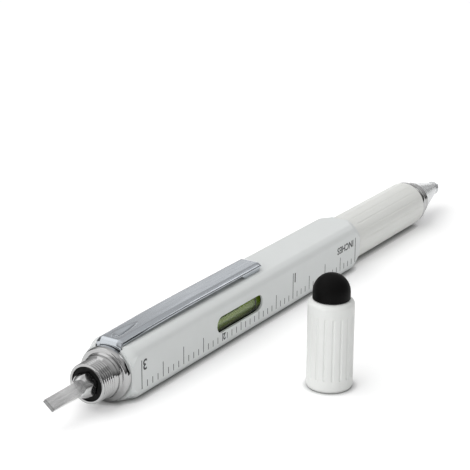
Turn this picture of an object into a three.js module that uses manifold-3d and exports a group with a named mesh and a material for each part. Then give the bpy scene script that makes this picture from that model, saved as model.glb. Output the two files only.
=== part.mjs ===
// Multifunction pen: a square barrel with an inch rule and a spirit level on one face, a pocket clip, a
// double-ended screwdriver bit in the rear spigot, a twist grip that drives the ink refill, and a screw cap
// with a stylus dome, which has been taken off and stands beside the pen.
// Millimetres. The pen lies along X with its writing tip towards +X, its clip up and its rule on the -Y face.
// The origin is the middle of the barrel's underside.
import * as THREE from 'three';
import { mergeVertices } from 'three/addons/utils/BufferGeometryUtils.js';
import Module from 'manifold-3d';

const wasm = await Module();
wasm.setup();

// Clearances
const seatGap = 0.05; // between pieces that are pressed or screwed together
const runningGap = 0.1; // between pieces that turn or slide on each other
const endGap = 0.3; // between end faces that turn past each other
const cutOver = 1; // how far a cutter reaches past what it cuts

// Barrel: its length follows from what it holds between the bit socket and the grip
const barrelAcross = 10; // across the flats
const barrelCorner = 2; // corner radius of the square section
const barrelBore = 8.2;
const barrelEndDiameter = 10.7; // the ends are turned down to this
const barrelEndTaper = 1.85;
const barrelEndLip = 0.4; // plain turned length at each end

// Level window and vial
const windowLength = 15.8;
const windowHeight = 3.2;
const windowRise = 0.3; // above the pen's axis
const vialLength = 20;
const vialDiameter = 5.6;
const vialWall = 0.5;
const vialForward = 1.2; // the vial sits nearer to the window than to the axis
const vialPlugLength = 1.4;
const lensRecess = 0.15; // of the vial's lens below the barrel's face
const bubbleLength = 5;
const bubbleDepth = 1.5;
const cradleEndWall = 1.5; // beyond each end of the vial
const socketGap = 7.5; // empty length between the bit socket and the cradle
const guideGap = 1.6; // empty length between the cradle and the cam guide

// Clip
const clipLength = 45.7;
const clipWidth = 5.2;
const clipTipWidth = 5.1;
const clipRise = 1.1; // of its top over the barrel's flat, at the rear
const clipSwell = 0.46; // the strip rises by this much more towards its tip
const clipSwellShare = 0.55; // share of the clip's length over which it rises
const clipSheet = 0.5;
const clipBevelWidth = 0.85;
const clipBevelDrop = 0.5;
const clipRearSkirt = 0.45; // plain height of the folded sides, under the bevel
const clipTipSkirt = 0.15;
const clipBend = 0.9; // outer radius of the rear bend
const clipCorner = 0.9; // corner radius of the rear end, seen from above
const clipFootSetback = 5.8; // from the clip's tip to where its foot touches the barrel
const clipFootRearSlope = 1.5;
const clipFootFrontSlope = 0.8;
const clipFootGap = 0.05;
const clipTangDepth = 0.75; // how far its rear tang reaches into the barrel's wall
const clipDentLength = 5.4;
const clipDentWidth = 1.9;
const clipDentDepth = 0.25;
const clipDentSetback = 4.6; // from the clip's rear face to the dent's middle

// Rear collar, bit socket and screwdriver bit
const flangeLength = 1.9;
const flangeDiameter = 9.96; // just clear of the surface under the barrel
const flangeChamfer = 0.35;
const seamWidth = 0.25;
const seamDepth = 0.4;
const spigotLength = 4.2;
const spigotDiameter = 7.2;
const spigotRelief = 0.7; // length of the smooth neck behind the thread
const spigotReliefDepth = 0.2;
const spigotChamfer = 0.3;
const collarBore = 6.3;
const collarStemLength = 8;
const socketRecess = 0.2;
const socketEndWall = 1.6;
const bitAcross = 4; // across the hexagon's flats
const bitLength = 30;
const bitTipLength = 9.4; // from the hexagon's end to the tip, at both ends
const bitShankDiameter = 2.9;
const bitShoulderLength = 1.9;
const bitProud = 10.2; // of the spigot's rim
const bitRoll = THREE.MathUtils.degToRad(38); // the blade's slant
const bladeWidth = 2.4;
const bladeThickness = 0.55;
const bladeRootThickness = 1.1;
const bladeRootSlope = 0.9; // length over which the blade's faces run out
const crossBladeFlute = 0.9;
const crossBladeTip = 0.9;

// Grip
const gripLength = 30.2;
const gripDiameter = 9.8;
const gripBore = 7;
const gripEndRound = 0.3;
const gripPlainBand = 1.6; // unfluted length at each end
const fluteCount = 18;
const fluteRadius = 0.3;
const fluteDepth = 0.2;

// Nose ring and nose cone
const noseFlangeLength = 1.4;
const noseFlangeDiameter = 9.6;
const noseFlangeChamfer = 0.45;
const noseSpigotLength = 2.7;
const noseSpigotDiameter = 7.9;
const noseStemLength = 9;
const coneLength = 9.7;
const coneBaseDiameter = 7.4;
const coneStemLength = 7;
const coneStemDiameter = 5.2;
const beadLength = 0.9;
const beadDiameter = 3;
const beadHole = 1.95;
const beadNeckDiameter = 2.7;

// Twist mechanism
const guideBehindPin = 12.4; // guide length behind the pin, with the tip out
const bushLength = 4.5;
const bushGap = 0.2; // between the bush and the guide
const camDiameter = 6.2;
const camBore = 4.7;
const camRearOverhang = 0.6; // the cam's rear end lies this far inside the guide's rear end
const camCollarLength = 10;
const ringGrooveSetback = 0.6;
const ringGrooveWidth = 0.6;
const ringGrooveDepth = 0.25;
const ringDiameter = 7.2;
const ringSplit = 1.2;
const pinDiameter = 1.2;
const pinInset = 1.45; // from the refill's rear end back to the pin
const twistStroke = 5;
const carrierRear = 5; // carrier length behind the pin
const refillHold = 4.6; // length of refill inside the carrier
const slotSideGap = 0.15;

// Refill
const refillLength = 67;
const refillDiameter = 2.3;
const refillWall = 0.15;
const refillTipLength = 10.9;
const refillTaper = 3.4;
const ballDiameter = 0.7;
const ballSeatWall = 0.1;
const tipProud = 2; // of the bead, with the tip out

// Cap with its stylus: its bore is as deep as the spigot and the bit that it covers
const capDiameter = 8.26;
const capBore = 7.4;
const capEndWall = 1.3;
const capBitClearance = 0.2;
const capShoulder = 0.95;
const capRimRound = 0.5;
const capBandBottom = 2.2;
const capBandTop = 2.4;
const capPlaceX = -14.6;
const capPlaceY = -29;
const stylusDiameter = 6.66;
const stylusHeight = 4.65;
const stylusWall = 0.9;
const stylusNeckDiameter = 5;
const stylusPlugHead = 0.5;

// Facets round a full turn
const roundSides = 45;
const boreSides = 36;
const smallSides = 20;
const fineSides = 12;
const fluteSides = 8;
const cornerSteps = 6;

const half = (size) => size / 2;

// Turning and booleans

// A mesh's shape as one closed, outward-facing solid.
function toSolid(geometry) {
  const bare = new THREE.BufferGeometry();
  bare.setAttribute('position', geometry.getAttribute('position').clone());
  bare.setIndex(geometry.getIndex());
  const merged = mergeVertices(bare);
  const points = merged.getAttribute('position').array;
  const corners = merged.getIndex().array;
  const kept = [];
  let volume = 0;
  for (let i = 0; i < corners.length; i += 3) {
    const [a, b, c] = [corners[i], corners[i + 1], corners[i + 2]];
    if (a === b || b === c || c === a) continue;
    kept.push(a, b, c);
    const va = new THREE.Vector3().fromArray(points, 3 * a);
    const vb = new THREE.Vector3().fromArray(points, 3 * b);
    const vc = new THREE.Vector3().fromArray(points, 3 * c);
    volume += va.dot(vb.cross(vc));
  }
  if (volume < 0) kept.reverse();
  const [vertProperties, triVerts] = [new Float32Array(points), new Uint32Array(kept)];
  return new wasm.Manifold(new wasm.Mesh({ numProp: 3, vertProperties, triVerts }));
}

function toGeometry(solid) {
  const mesh = solid.getMesh();
  const geometry = new THREE.BufferGeometry();
  const positions = new Float32Array(mesh.vertProperties);
  geometry.setAttribute('position', new THREE.BufferAttribute(positions, mesh.numProp));
  geometry.setIndex(new THREE.BufferAttribute(new Uint32Array(mesh.triVerts), 1));
  return geometry;
}

// Turns a closed outline of [x, radius] points about the X axis.
function turned(outline, sides = roundSides) {
  const points = outline.map(([x, radius]) => new THREE.Vector2(radius, x));
  const geometry = new THREE.LatheGeometry(points, sides);
  geometry.applyMatrix4(new THREE.Matrix4().makeRotationZ(-Math.PI / 2));
  return toSolid(geometry);
}

// A plain rod or drill along X between two places.
function rod(x0, x1, diameter, sides = boreSides) {
  return turned([[x0, 0], [x0, half(diameter)], [x1, half(diameter)], [x1, 0]].reverse(), sides);
}

// A tube along X.
function tube(x0, x1, outer, inner, sides = boreSides) {
  const [bore, wall] = [half(inner), half(outer)];
  return turned([[x0, bore], [x0, wall], [x1, wall], [x1, bore], [x0, bore]], sides);
}

function extruded(shape, depth) {
  return new THREE.ExtrudeGeometry(shape, { depth, bevelEnabled: false, curveSegments: cornerSteps });
}

// Extrudes a shape drawn in Y and Z along X, from x0 to x1.
function alongX(shape, x0, x1) {
  const geometry = extruded(shape, x1 - x0);
  const [across, up, along] = [[0, 1, 0], [0, 0, 1], [1, 0, 0]].map((axis) => new THREE.Vector3(...axis));
  geometry.applyMatrix4(new THREE.Matrix4().makeBasis(across, up, along));
  geometry.translate(x0, 0, 0);
  return toSolid(geometry);
}

// Extrudes a shape drawn in X and Z along Y, the given width about the middle.
function alongY(shape, width) {
  const geometry = extruded(shape, width);
  geometry.applyMatrix4(new THREE.Matrix4().makeRotationX(Math.PI / 2));
  geometry.translate(0, half(width), 0);
  return toSolid(geometry);
}

// Extrudes a shape drawn in X and Y upwards, from z0 to z1.
function alongZ(shape, z0, z1) {
  const geometry = extruded(shape, z1 - z0);
  geometry.translate(0, 0, z0);
  return toSolid(geometry);
}

function box(x0, x1, y0, y1, z0, z1) {
  const geometry = new THREE.BoxGeometry(x1 - x0, y1 - y0, z1 - z0);
  geometry.translate(half(x0 + x1), half(y0 + y1), half(z0 + z1));
  return toSolid(geometry);
}

function polygon(points) {
  return new THREE.Shape(points.map(([a, b]) => new THREE.Vector2(a, b)));
}

// A skin through rings of points, closed at both ends.
function loft(rings) {
  const count = rings[0].length;
  const positions = rings.flat(2);
  const faces = [];
  for (let r = 0; r + 1 < rings.length; r += 1) {
    for (let i = 0; i < count; i += 1) {
      const j = (i + 1) % count;
      const [a, b, c, d] = [r * count + i, r * count + j, (r + 1) * count + j, (r + 1) * count + i];
      faces.push(a, b, c, a, c, d);
    }
  }
  const contour = rings[0].map(([, y, z]) => new THREE.Vector2(y, z));
  const caps = THREE.ShapeUtils.triangulateShape(contour, []);
  const last = (rings.length - 1) * count;
  const clockwise = THREE.ShapeUtils.isClockWise(contour);
  for (const [a, b, c] of caps) {
    const [first, second] = clockwise ? [b, c] : [c, b];
    faces.push(a, first, second, last + a, last + second, last + first);
  }
  const geometry = new THREE.BufferGeometry();
  geometry.setAttribute('position', new THREE.Float32BufferAttribute(positions, 3));
  geometry.setIndex(faces);
  return toSolid(geometry);
}

function regularPolygon(across, sides) {
  const radius = half(across) / Math.cos(Math.PI / sides);
  return polygon([...Array(sides).keys()].map((i) => {
    const angle = (2 * Math.PI * i) / sides;
    return [radius * Math.cos(angle), radius * Math.sin(angle)];
  }));
}

// Finishes and the assembly

const whitePaint = { color: 0xe6e8e8, roughness: 0.35, metalness: 0.1 };
const chrome = { color: 0xc4c8cc, roughness: 0.12, metalness: 1 };
const satinChrome = { color: 0xb4b8bc, roughness: 0.3, metalness: 1 };
const brass = { color: 0xb89a5a, roughness: 0.35, metalness: 1 };
const steel = { color: 0xb0b2b4, roughness: 0.25, metalness: 1 };
const blackPlastic = { color: 0x141414, roughness: 0.5, metalness: 0 };
const greyPlastic = { color: 0x6c7074, roughness: 0.5, metalness: 0 };
const clearPlastic = { color: 0xdfe8d8, roughness: 0.08, metalness: 0, transparent: true, opacity: 0.35 };
const greenFluid = { color: 0x6f8f1c, roughness: 0.1, metalness: 0, transparent: true, opacity: 0.7 };
const blackRubber = { color: 0x121212, roughness: 0.8, metalness: 0 };

const pen = new THREE.Group();
pen.position.set(0, 0, half(barrelAcross));
const cap = new THREE.Group();
cap.position.set(capPlaceX, capPlaceY, 0);
cap.rotation.y = -Math.PI / 2; // the cap is turned about X, open end first, and then stood up on that end
const part = new THREE.Group();
part.add(pen, cap);

function addPiece(group, name, solid, finish) {
  const mesh = new THREE.Mesh(toGeometry(solid), new THREE.MeshStandardMaterial(finish));
  mesh.name = name;
  group.add(mesh);
  return mesh;
}

// Stations along the pen: what the grip and the nose leave of the refill's length is inside the barrel
const noseLength = noseFlangeLength + noseSpigotLength + coneLength + beadLength;
const noseReach = endGap + gripLength + noseLength + tipProud;
const guideDepth = refillLength - noseReach + pinInset + guideBehindPin;
const socketDepth = bitLength - bitProud - spigotLength - flangeLength + runningGap + socketEndWall;
const cradleLength = vialLength + 2 * cradleEndWall;
const barrelLength = socketDepth + socketGap + cradleLength + guideGap + guideDepth;
const rearEnd = -half(barrelLength);
const noseEnd = half(barrelLength);
const flangeFace = rearEnd - flangeLength;
const spigotRim = flangeFace - spigotLength;
const cradleFront = noseEnd - guideDepth - guideGap;
const windowMiddle = cradleFront - half(cradleLength);
const gripRear = noseEnd + endGap;
const gripFront = gripRear + gripLength;
const noseFlangeFront = gripFront + noseFlangeLength;
const noseSpigotFront = noseFlangeFront + noseSpigotLength;
const coneFront = noseSpigotFront + coneLength;
const beadFront = coneFront + beadLength;
const refillFront = beadFront + tipProud;
const refillRear = refillFront - refillLength;
const pinPlace = refillRear - pinInset;
const guideFront = noseEnd - bushLength - bushGap;
const guideRear = pinPlace - guideBehindPin;
const capBoreDepth = spigotLength + bitProud + capBitClearance + stylusPlugHead;
const capHeight = capBoreDepth + capEndWall;

// Barrel

function roundedSquare(across, corner) {
  const side = half(across);
  const shape = new THREE.Shape();
  shape.moveTo(side, corner - side);
  shape.lineTo(side, side - corner);
  shape.absarc(side - corner, side - corner, corner, 0, Math.PI / 2);
  shape.lineTo(corner - side, side);
  shape.absarc(corner - side, side - corner, corner, Math.PI / 2, Math.PI);
  shape.lineTo(-side, corner - side);
  shape.absarc(corner - side, corner - side, corner, Math.PI, 1.5 * Math.PI);
  shape.lineTo(side - corner, -side);
  shape.absarc(side - corner, corner - side, corner, 1.5 * Math.PI, 2 * Math.PI);
  return shape;
}

// A slot with round ends, drawn in X and Z.
function obround(length, height, middleX, middleZ) {
  const radius = half(height);
  const reach = half(length) - radius;
  const shape = new THREE.Shape();
  shape.moveTo(middleX - reach, middleZ - radius);
  shape.lineTo(middleX + reach, middleZ - radius);
  shape.absarc(middleX + reach, middleZ, radius, -Math.PI / 2, Math.PI / 2);
  shape.lineTo(middleX - reach, middleZ + radius);
  shape.absarc(middleX - reach, middleZ, radius, Math.PI / 2, 1.5 * Math.PI);
  return shape;
}

function makeBarrel() {
  const cornerRadius = Math.SQRT2 * (half(barrelAcross) - barrelCorner) + barrelCorner;
  const endRadius = half(barrelEndDiameter);
  const clearRadius = cornerRadius + cutOver;
  const taperSlope = (cornerRadius - endRadius) / barrelEndTaper;
  const taperLength = (clearRadius - endRadius) / taperSlope;
  const turnedEnds = turned([
    [rearEnd, 0],
    [rearEnd, endRadius],
    [rearEnd + barrelEndLip, endRadius],
    [rearEnd + barrelEndLip + taperLength, clearRadius],
    [noseEnd - barrelEndLip - taperLength, clearRadius],
    [noseEnd - barrelEndLip, endRadius],
    [noseEnd, endRadius],
    [noseEnd, 0],
  ]);
  const bore = rod(rearEnd - cutOver, noseEnd + cutOver, barrelBore);
  const windowShape = obround(windowLength, windowHeight, windowMiddle, windowRise);
  const windowCut = alongY(windowShape, barrelAcross).translate([0, -half(barrelAcross), 0]);
  // The clip's tang sits in a notch in the rear end of the top wall.
  const notchHalf = half(clipWidth) + runningGap;
  const notchFront = rearEnd + clipSheet + runningGap;
  const notchFloor = half(barrelAcross) - clipTangDepth - runningGap;
  const notch = box(rearEnd - cutOver, notchFront, -notchHalf, notchHalf, notchFloor, barrelAcross);
  return alongX(roundedSquare(barrelAcross, barrelCorner), rearEnd, noseEnd)
    .intersect(turnedEnds)
    .subtract(bore)
    .subtract(windowCut)
    .subtract(notch);
}
addPiece(pen, 'barrel', makeBarrel(), whitePaint);

// Clip: one pressed strip, folded down at its sides, with a tang at the rear and a foot at the tip

// Height of the clip's top above the pen's axis, at a share of its length.
function clipTop(share) {
  const left = 1 - Math.min(share / clipSwellShare, 1);
  return half(barrelAcross) + clipRise + clipSwell * (1 - left * left);
}

function clipSection(share) {
  const x = rearEnd + clipLength * share;
  const side = THREE.MathUtils.lerp(half(clipWidth), half(clipTipWidth), share);
  const [top, ridge] = [clipTop(share), side - clipBevelWidth];
  const bevelFoot = top - clipBevelDrop;
  const skirtFoot = bevelFoot - THREE.MathUtils.lerp(clipRearSkirt, clipTipSkirt, share);
  return [
    [x, -side, skirtFoot],
    [x, -side + clipSheet, skirtFoot],
    [x, -side + clipSheet, bevelFoot - half(clipSheet)],
    [x, -ridge + half(clipSheet), top - clipSheet],
    [x, ridge - half(clipSheet), top - clipSheet],
    [x, side - clipSheet, bevelFoot - half(clipSheet)],
    [x, side - clipSheet, skirtFoot],
    [x, side, skirtFoot],
    [x, side, bevelFoot],
    [x, ridge, top],
    [x, -ridge, top],
    [x, -side, bevelFoot],
  ];
}

// Seen from the end, the tang and the foot keep to the strip's bevelled outline.
function clipOutline(width, top) {
  const [side, low, bevelFoot] = [half(width), half(barrelAcross) - clipTangDepth, top - clipBevelDrop];
  const ridge = side - clipBevelWidth;
  return polygon([
    [-side, low],
    [side, low],
    [side, bevelFoot],
    [ridge, top],
    [-ridge, top],
    [-side, bevelFoot],
  ]);
}

function makeClip() {
  const [rear, tip] = [rearEnd, rearEnd + clipLength];
  const flat = half(barrelAcross);
  const [skirtTop, tipTop] = [clipTop(0) - clipBevelDrop, clipTop(1)];
  const shares = [...Array(cornerSteps).keys()].map((i) => (clipSwellShare * i) / cornerSteps);
  const strip = loft([...shares, clipSwellShare, 1].map(clipSection));

  const footRear = tip - clipFootSetback;
  const footTop = tipTop - half(clipSheet);
  const foot = alongY(polygon([
    [footRear, flat + clipFootGap],
    [tip - clipFootFrontSlope, flat + clipFootGap],
    [tip, footTop],
    [footRear - clipFootRearSlope, footTop],
  ]), clipTipWidth).intersect(alongX(clipOutline(clipTipWidth, tipTop), rear, tip));

  // The tang, the rear bend over it and the web that joins the sides to it.
  const bendTop = clipTop(clipBend / clipLength);
  const bendMiddle = [rear + clipBend, bendTop - clipBend];
  const back = new THREE.Shape();
  back.moveTo(rear, flat - clipTangDepth);
  back.lineTo(rear + clipSheet, flat - clipTangDepth);
  back.lineTo(rear + clipSheet, bendTop - clipBend);
  back.absarc(...bendMiddle, clipBend - clipSheet, Math.PI, Math.PI / 2, true);
  back.lineTo(rear + clipBend, bendTop);
  back.absarc(...bendMiddle, clipBend, Math.PI / 2, Math.PI);
  const web = polygon([
    [rear, flat + clipFootGap],
    [rear + clipBend, flat + clipFootGap],
    [rear + 2 * clipBend, skirtTop],
    [rear, skirtTop],
  ]);
  const insideHalf = half(clipWidth) - clipSheet;
  const inside = box(rear + clipSheet, tip, -insideHalf, insideHalf, 0, tipTop);
  const tang = alongY(back, clipWidth)
    .add(alongY(web, clipWidth).subtract(inside))
    .intersect(alongX(clipOutline(clipWidth, bendTop), rear, tip));

  // The side view rounds the strip's rear end over the bend, and the view from above rounds its corners.
  const sideView = new THREE.Shape();
  sideView.moveTo(rear, flat - clipTangDepth);
  sideView.lineTo(tip, flat - clipTangDepth);
  sideView.lineTo(tip, tipTop + cutOver);
  sideView.lineTo(rear + clipBend, tipTop + cutOver);
  sideView.lineTo(rear + clipBend, bendTop);
  sideView.absarc(...bendMiddle, clipBend, Math.PI / 2, Math.PI);
  const side = half(clipWidth);
  const topView = new THREE.Shape();
  topView.moveTo(tip, -side);
  topView.lineTo(tip, side);
  topView.lineTo(rear + clipCorner, side);
  topView.absarc(rear + clipCorner, side - clipCorner, clipCorner, Math.PI / 2, Math.PI);
  topView.lineTo(rear, clipCorner - side);
  topView.absarc(rear + clipCorner, clipCorner - side, clipCorner, Math.PI, 1.5 * Math.PI);

  const dent = new THREE.SphereGeometry(1, fineSides, fineSides);
  dent.scale(half(clipDentLength), half(clipDentWidth), clipDentDepth);
  dent.translate(rear + clipDentSetback, 0, clipTop(clipDentSetback / clipLength));
  return strip
    .add(foot)
    .add(tang)
    .intersect(alongY(sideView, clipWidth + cutOver))
    .intersect(alongZ(topView, 0, barrelAcross))
    .subtract(toSolid(dent));
}
addPiece(pen, 'clip', makeClip(), chrome);

// Rear collar: a flange against the barrel's end and the clip's tang, a threaded spigot for the cap,
// and a stem pressed into the barrel

function makeRearCollar() {
  const stemRadius = half(barrelBore) - seatGap;
  const flangeRadius = half(flangeDiameter);
  const spigotRadius = half(spigotDiameter);
  const boreRadius = half(collarBore);
  return turned([
    [spigotRim, boreRadius],
    [spigotRim, spigotRadius - spigotChamfer],
    [spigotRim + spigotChamfer, spigotRadius],
    [flangeFace - spigotRelief, spigotRadius],
    [flangeFace - spigotRelief + spigotReliefDepth, spigotRadius - spigotReliefDepth],
    [flangeFace, spigotRadius - spigotReliefDepth],
    [flangeFace, flangeRadius - flangeChamfer],
    [flangeFace + flangeChamfer, flangeRadius],
    [rearEnd - seamWidth, flangeRadius],
    [rearEnd - seamWidth, flangeRadius - seamDepth],
    [rearEnd - seatGap, flangeRadius - seamDepth],
    [rearEnd - seatGap, stemRadius],
    [rearEnd + collarStemLength, stemRadius],
    [rearEnd + collarStemLength, boreRadius],
    [spigotRim, boreRadius],
  ]);
}
addPiece(pen, 'rear_collar', makeRearCollar(), chrome);

// Screwdriver bit and its socket

const bitRear = spigotRim - bitProud;
const bitFront = bitRear + bitLength;
const hexRear = bitRear + bitTipLength;
const hexFront = bitFront - bitTipLength;

function hexBar(across, x0, x1) {
  return alongX(regularPolygon(across, 6), x0, x1);
}

// The turned outline that cones both ends of the hexagon down to the shank.
function bitEnvelope() {
  const cornerRadius = half(bitAcross) / Math.cos(Math.PI / 6);
  const shankRadius = half(bitShankDiameter);
  return turned([
    [bitRear, 0],
    [bitRear, shankRadius],
    [hexRear - bitShoulderLength, shankRadius],
    [hexRear, cornerRadius],
    [hexFront, cornerRadius],
    [hexFront + bitShoulderLength, shankRadius],
    [bitFront, shankRadius],
    [bitFront, 0],
  ], boreSides);
}

// Two wedges leave the flat blade between them, thicker at its root, where its faces run out.
function bladeCutter(side) {
  const root = hexRear - bitShoulderLength;
  const shape = polygon([
    [bitRear - cutOver, side * half(bladeThickness)],
    [root, side * half(bladeRootThickness)],
    [root + bladeRootSlope, side * half(bitAcross)],
    [bitRear - cutOver, side * half(bitAcross)],
  ]);
  return alongY(shape, 2 * bitAcross);
}

function makeBit() {
  const shankReach = 2 * bitShankDiameter;
  const root = hexRear - bitShoulderLength;
  let bit = hexBar(bitAcross, bitRear, bitFront).intersect(bitEnvelope());
  bit = bit.subtract(bladeCutter(1)).subtract(bladeCutter(-1));
  for (const side of [-1, 1]) {
    const [edge, far] = [side * half(bladeWidth), side * shankReach];
    const [y0, y1] = [Math.min(edge, far), Math.max(edge, far)];
    bit = bit.subtract(box(bitRear - cutOver, root, y0, y1, -shankReach, shankReach));
  }
  // The cross-point end: a cone with four flutes.
  const pointRoot = bitFront - half(bitTipLength);
  const cone = turned([
    [bitRear, 0],
    [bitRear, bitAcross],
    [pointRoot, bitAcross],
    [pointRoot, half(bitShankDiameter)],
    [bitFront, half(crossBladeTip)],
    [bitFront, 0],
  ], smallSides);
  bit = bit.intersect(cone);
  for (const [sideY, sideZ] of [[1, 1], [1, -1], [-1, 1], [-1, -1]]) {
    const inner = half(crossBladeFlute);
    const flute = polygon([
      [sideY * half(inner), sideZ * half(inner)],
      [sideY * bitShankDiameter, sideZ * half(inner)],
      [sideY * bitShankDiameter, sideZ * bitShankDiameter],
      [sideY * half(inner), sideZ * bitShankDiameter],
    ]);
    bit = bit.subtract(alongX(flute, pointRoot, bitFront + cutOver));
  }
  return bit;
}
const bitMesh = addPiece(pen, 'screwdriver_bit', makeBit(), steel);
bitMesh.rotation.x = bitRoll;

function makeSocket() {
  const rear = spigotRim + socketRecess;
  const pocketEnd = bitFront + runningGap;
  const front = pocketEnd + socketEndWall;
  const clearBore = bitShankDiameter + 2 * runningGap;
  return tube(rear, front, collarBore - 2 * seatGap, clearBore)
    .add(rod(pocketEnd, front, collarBore - 2 * seatGap))
    .subtract(hexBar(bitAcross + 2 * runningGap, rear - cutOver, hexFront + bitShoulderLength));
}
const socketMesh = addPiece(pen, 'bit_socket', makeSocket(), blackPlastic);
socketMesh.rotation.x = bitRoll;

// Spirit level: a fluid-filled vial in a cradle behind the window

const vialRear = windowMiddle - half(vialLength);
const vialFront = windowMiddle + half(vialLength);
const vialBore = vialDiameter - 2 * vialWall;
const fluidDiameter = vialBore - 2 * seatGap;

function placeInVial(mesh) {
  mesh.position.set(0, -vialForward, windowRise);
}

// The vial's tube carries a lens that fills the window.
function makeVial() {
  const lensFront = half(barrelAcross) - lensRecess - vialForward;
  const lensShape = obround(windowLength - 2 * runningGap, windowHeight - 2 * runningGap, windowMiddle, 0);
  const lens = alongY(lensShape, lensFront).translate([0, -half(lensFront), 0]);
  return rod(vialRear, vialFront, vialDiameter)
    .add(lens)
    .subtract(rod(vialRear - cutOver, vialFront + cutOver, vialBore));
}

function makeFluid() {
  const [x0, x1] = [vialRear + vialPlugLength + seatGap, vialFront - vialPlugLength - seatGap];
  const bubble = new THREE.SphereGeometry(1, smallSides, fineSides);
  bubble.scale(half(bubbleLength), bubbleDepth, bubbleDepth);
  bubble.translate(windowMiddle, 0, half(fluidDiameter));
  return rod(x0, x1, fluidDiameter).subtract(toSolid(bubble));
}

function makeCradle() {
  const [pocketRear, pocketFront] = [vialRear - seatGap, vialFront + seatGap];
  const pocket = rod(pocketRear, pocketFront, vialDiameter + 2 * seatGap);
  const mouth = box(pocketRear, pocketFront, -barrelAcross, -vialForward, -barrelAcross, barrelAcross);
  return rod(cradleFront - cradleLength, cradleFront, barrelBore - 2 * seatGap)
    .subtract(pocket.translate([0, -vialForward, windowRise]))
    .subtract(mouth);
}

addPiece(pen, 'vial_cradle', makeCradle(), blackPlastic);
placeInVial(addPiece(pen, 'vial_tube', makeVial(), clearPlastic));
placeInVial(addPiece(pen, 'vial_fluid', makeFluid(), greenFluid));
const plugPlaces = { vial_plug_rear: vialRear, vial_plug_front: vialFront - vialPlugLength };
for (const [name, x] of Object.entries(plugPlaces)) {
  placeInVial(addPiece(pen, name, rod(x, x + vialPlugLength, fluidDiameter), clearPlastic));
}

// Twist mechanism: the guide is fixed in the barrel, the cam sleeve turns in it with the grip, and the
// cross pin runs in the guide's straight slots and the cam's helical slots, so the carrier slides

// A slot cutter that winds about X while it travels, with a width along X.
function helicalCutter(startAngle, slotWidth) {
  const overrun = (half(pinDiameter) + slotSideGap) / (half(camBore) * Math.PI);
  const rings = [];
  for (let i = 0; i <= fineSides; i += 1) {
    const share = -overrun + ((1 + 2 * overrun) * i) / fineSides;
    const angle = startAngle - Math.PI * share;
    const x = pinPlace - twistStroke * share;
    const [inner, outer] = [half(camBore) - half(cutOver), half(camDiameter) + half(cutOver)];
    const ring = [[inner, -1], [outer, -1], [outer, 1], [inner, 1]].map(([radius, side]) => [
      x + side * half(slotWidth),
      radius * Math.cos(angle),
      radius * Math.sin(angle),
    ]);
    rings.push(ring);
  }
  return loftAcross(rings);
}

// A bar through four-cornered rings, closed at both ends.
function loftAcross(rings) {
  const faces = [];
  for (let r = 0; r + 1 < rings.length; r += 1) {
    for (let i = 0; i < 4; i += 1) {
      const j = (i + 1) % 4;
      faces.push(4 * r + i, 4 * r + j, 4 * r + 4 + j, 4 * r + i, 4 * r + 4 + j, 4 * r + 4 + i);
    }
  }
  const last = 4 * (rings.length - 1);
  faces.push(0, 2, 1, 0, 3, 2, last, last + 1, last + 2, last, last + 2, last + 3);
  const geometry = new THREE.BufferGeometry();
  geometry.setAttribute('position', new THREE.Float32BufferAttribute(rings.flat(2), 3));
  geometry.setIndex(faces);
  return toSolid(geometry);
}

const camRear = guideRear + camRearOverhang;
const grooveRear = camRear + ringGrooveSetback;
const grooveFront = grooveRear + ringGrooveWidth;
const camReach = gripRear + camCollarLength;

function makeGuide() {
  const slotHalf = half(pinDiameter) + slotSideGap;
  const slotRear = pinPlace - twistStroke - slotHalf;
  const slotFront = pinPlace + slotHalf;
  const pocket = rod(guideRear - cutOver, grooveFront + runningGap, ringDiameter + 2 * runningGap);
  return tube(guideRear, guideFront, barrelBore - 2 * seatGap, camDiameter + 2 * runningGap)
    .subtract(pocket)
    .subtract(box(slotRear, slotFront, -slotHalf, slotHalf, -barrelAcross, barrelAcross));
}

function makeCam() {
  const helixAngle = Math.atan(twistStroke / (Math.PI * half(camBore)));
  const slotWidth = (pinDiameter + 2 * slotSideGap) / Math.cos(helixAngle);
  const groove = tube(grooveRear, grooveFront, camDiameter + cutOver, camDiameter - 2 * ringGrooveDepth);
  return tube(camRear, camReach, camDiameter, camBore)
    .add(tube(gripRear, camReach, gripBore - 2 * seatGap, camBore))
    .subtract(groove)
    .subtract(helicalCutter(Math.PI / 2, slotWidth))
    .subtract(helicalCutter(-Math.PI / 2, slotWidth));
}

function makeSnapRing() {
  const inner = camDiameter - 2 * ringGrooveDepth + 2 * seatGap;
  const split = box(grooveRear, grooveFront, 0, ringDiameter, -half(ringSplit), half(ringSplit));
  return tube(grooveRear + seatGap, grooveFront - seatGap, ringDiameter, inner).subtract(split);
}

function makeCarrier() {
  const [x0, x1] = [pinPlace - carrierRear, refillRear + refillHold];
  const socket = rod(refillRear - seatGap, x1 + cutOver, refillDiameter + 2 * seatGap, smallSides);
  const pinHole = toSolid(new THREE.CylinderGeometry(
    half(pinDiameter) + seatGap, half(pinDiameter) + seatGap, barrelAcross, fineSides,
  ).rotateX(Math.PI / 2).translate(pinPlace, 0, 0));
  return rod(x0, x1, camBore - 2 * runningGap).subtract(socket).subtract(pinHole);
}

function makePin() {
  const length = barrelBore - 4 * runningGap;
  const pin = new THREE.CylinderGeometry(half(pinDiameter), half(pinDiameter), length, fineSides);
  return toSolid(pin.rotateX(Math.PI / 2).translate(pinPlace, 0, 0));
}

function makeBush() {
  return tube(noseEnd - bushLength, noseEnd, barrelBore - 2 * seatGap, camDiameter + 2 * runningGap);
}

addPiece(pen, 'cam_guide', makeGuide(), greyPlastic);
addPiece(pen, 'nose_bush', makeBush(), brass);
addPiece(pen, 'cam_sleeve', makeCam(), brass);
addPiece(pen, 'snap_ring', makeSnapRing(), steel);
addPiece(pen, 'refill_carrier', makeCarrier(), blackPlastic);
addPiece(pen, 'cross_pin', makePin(), steel);

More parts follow.
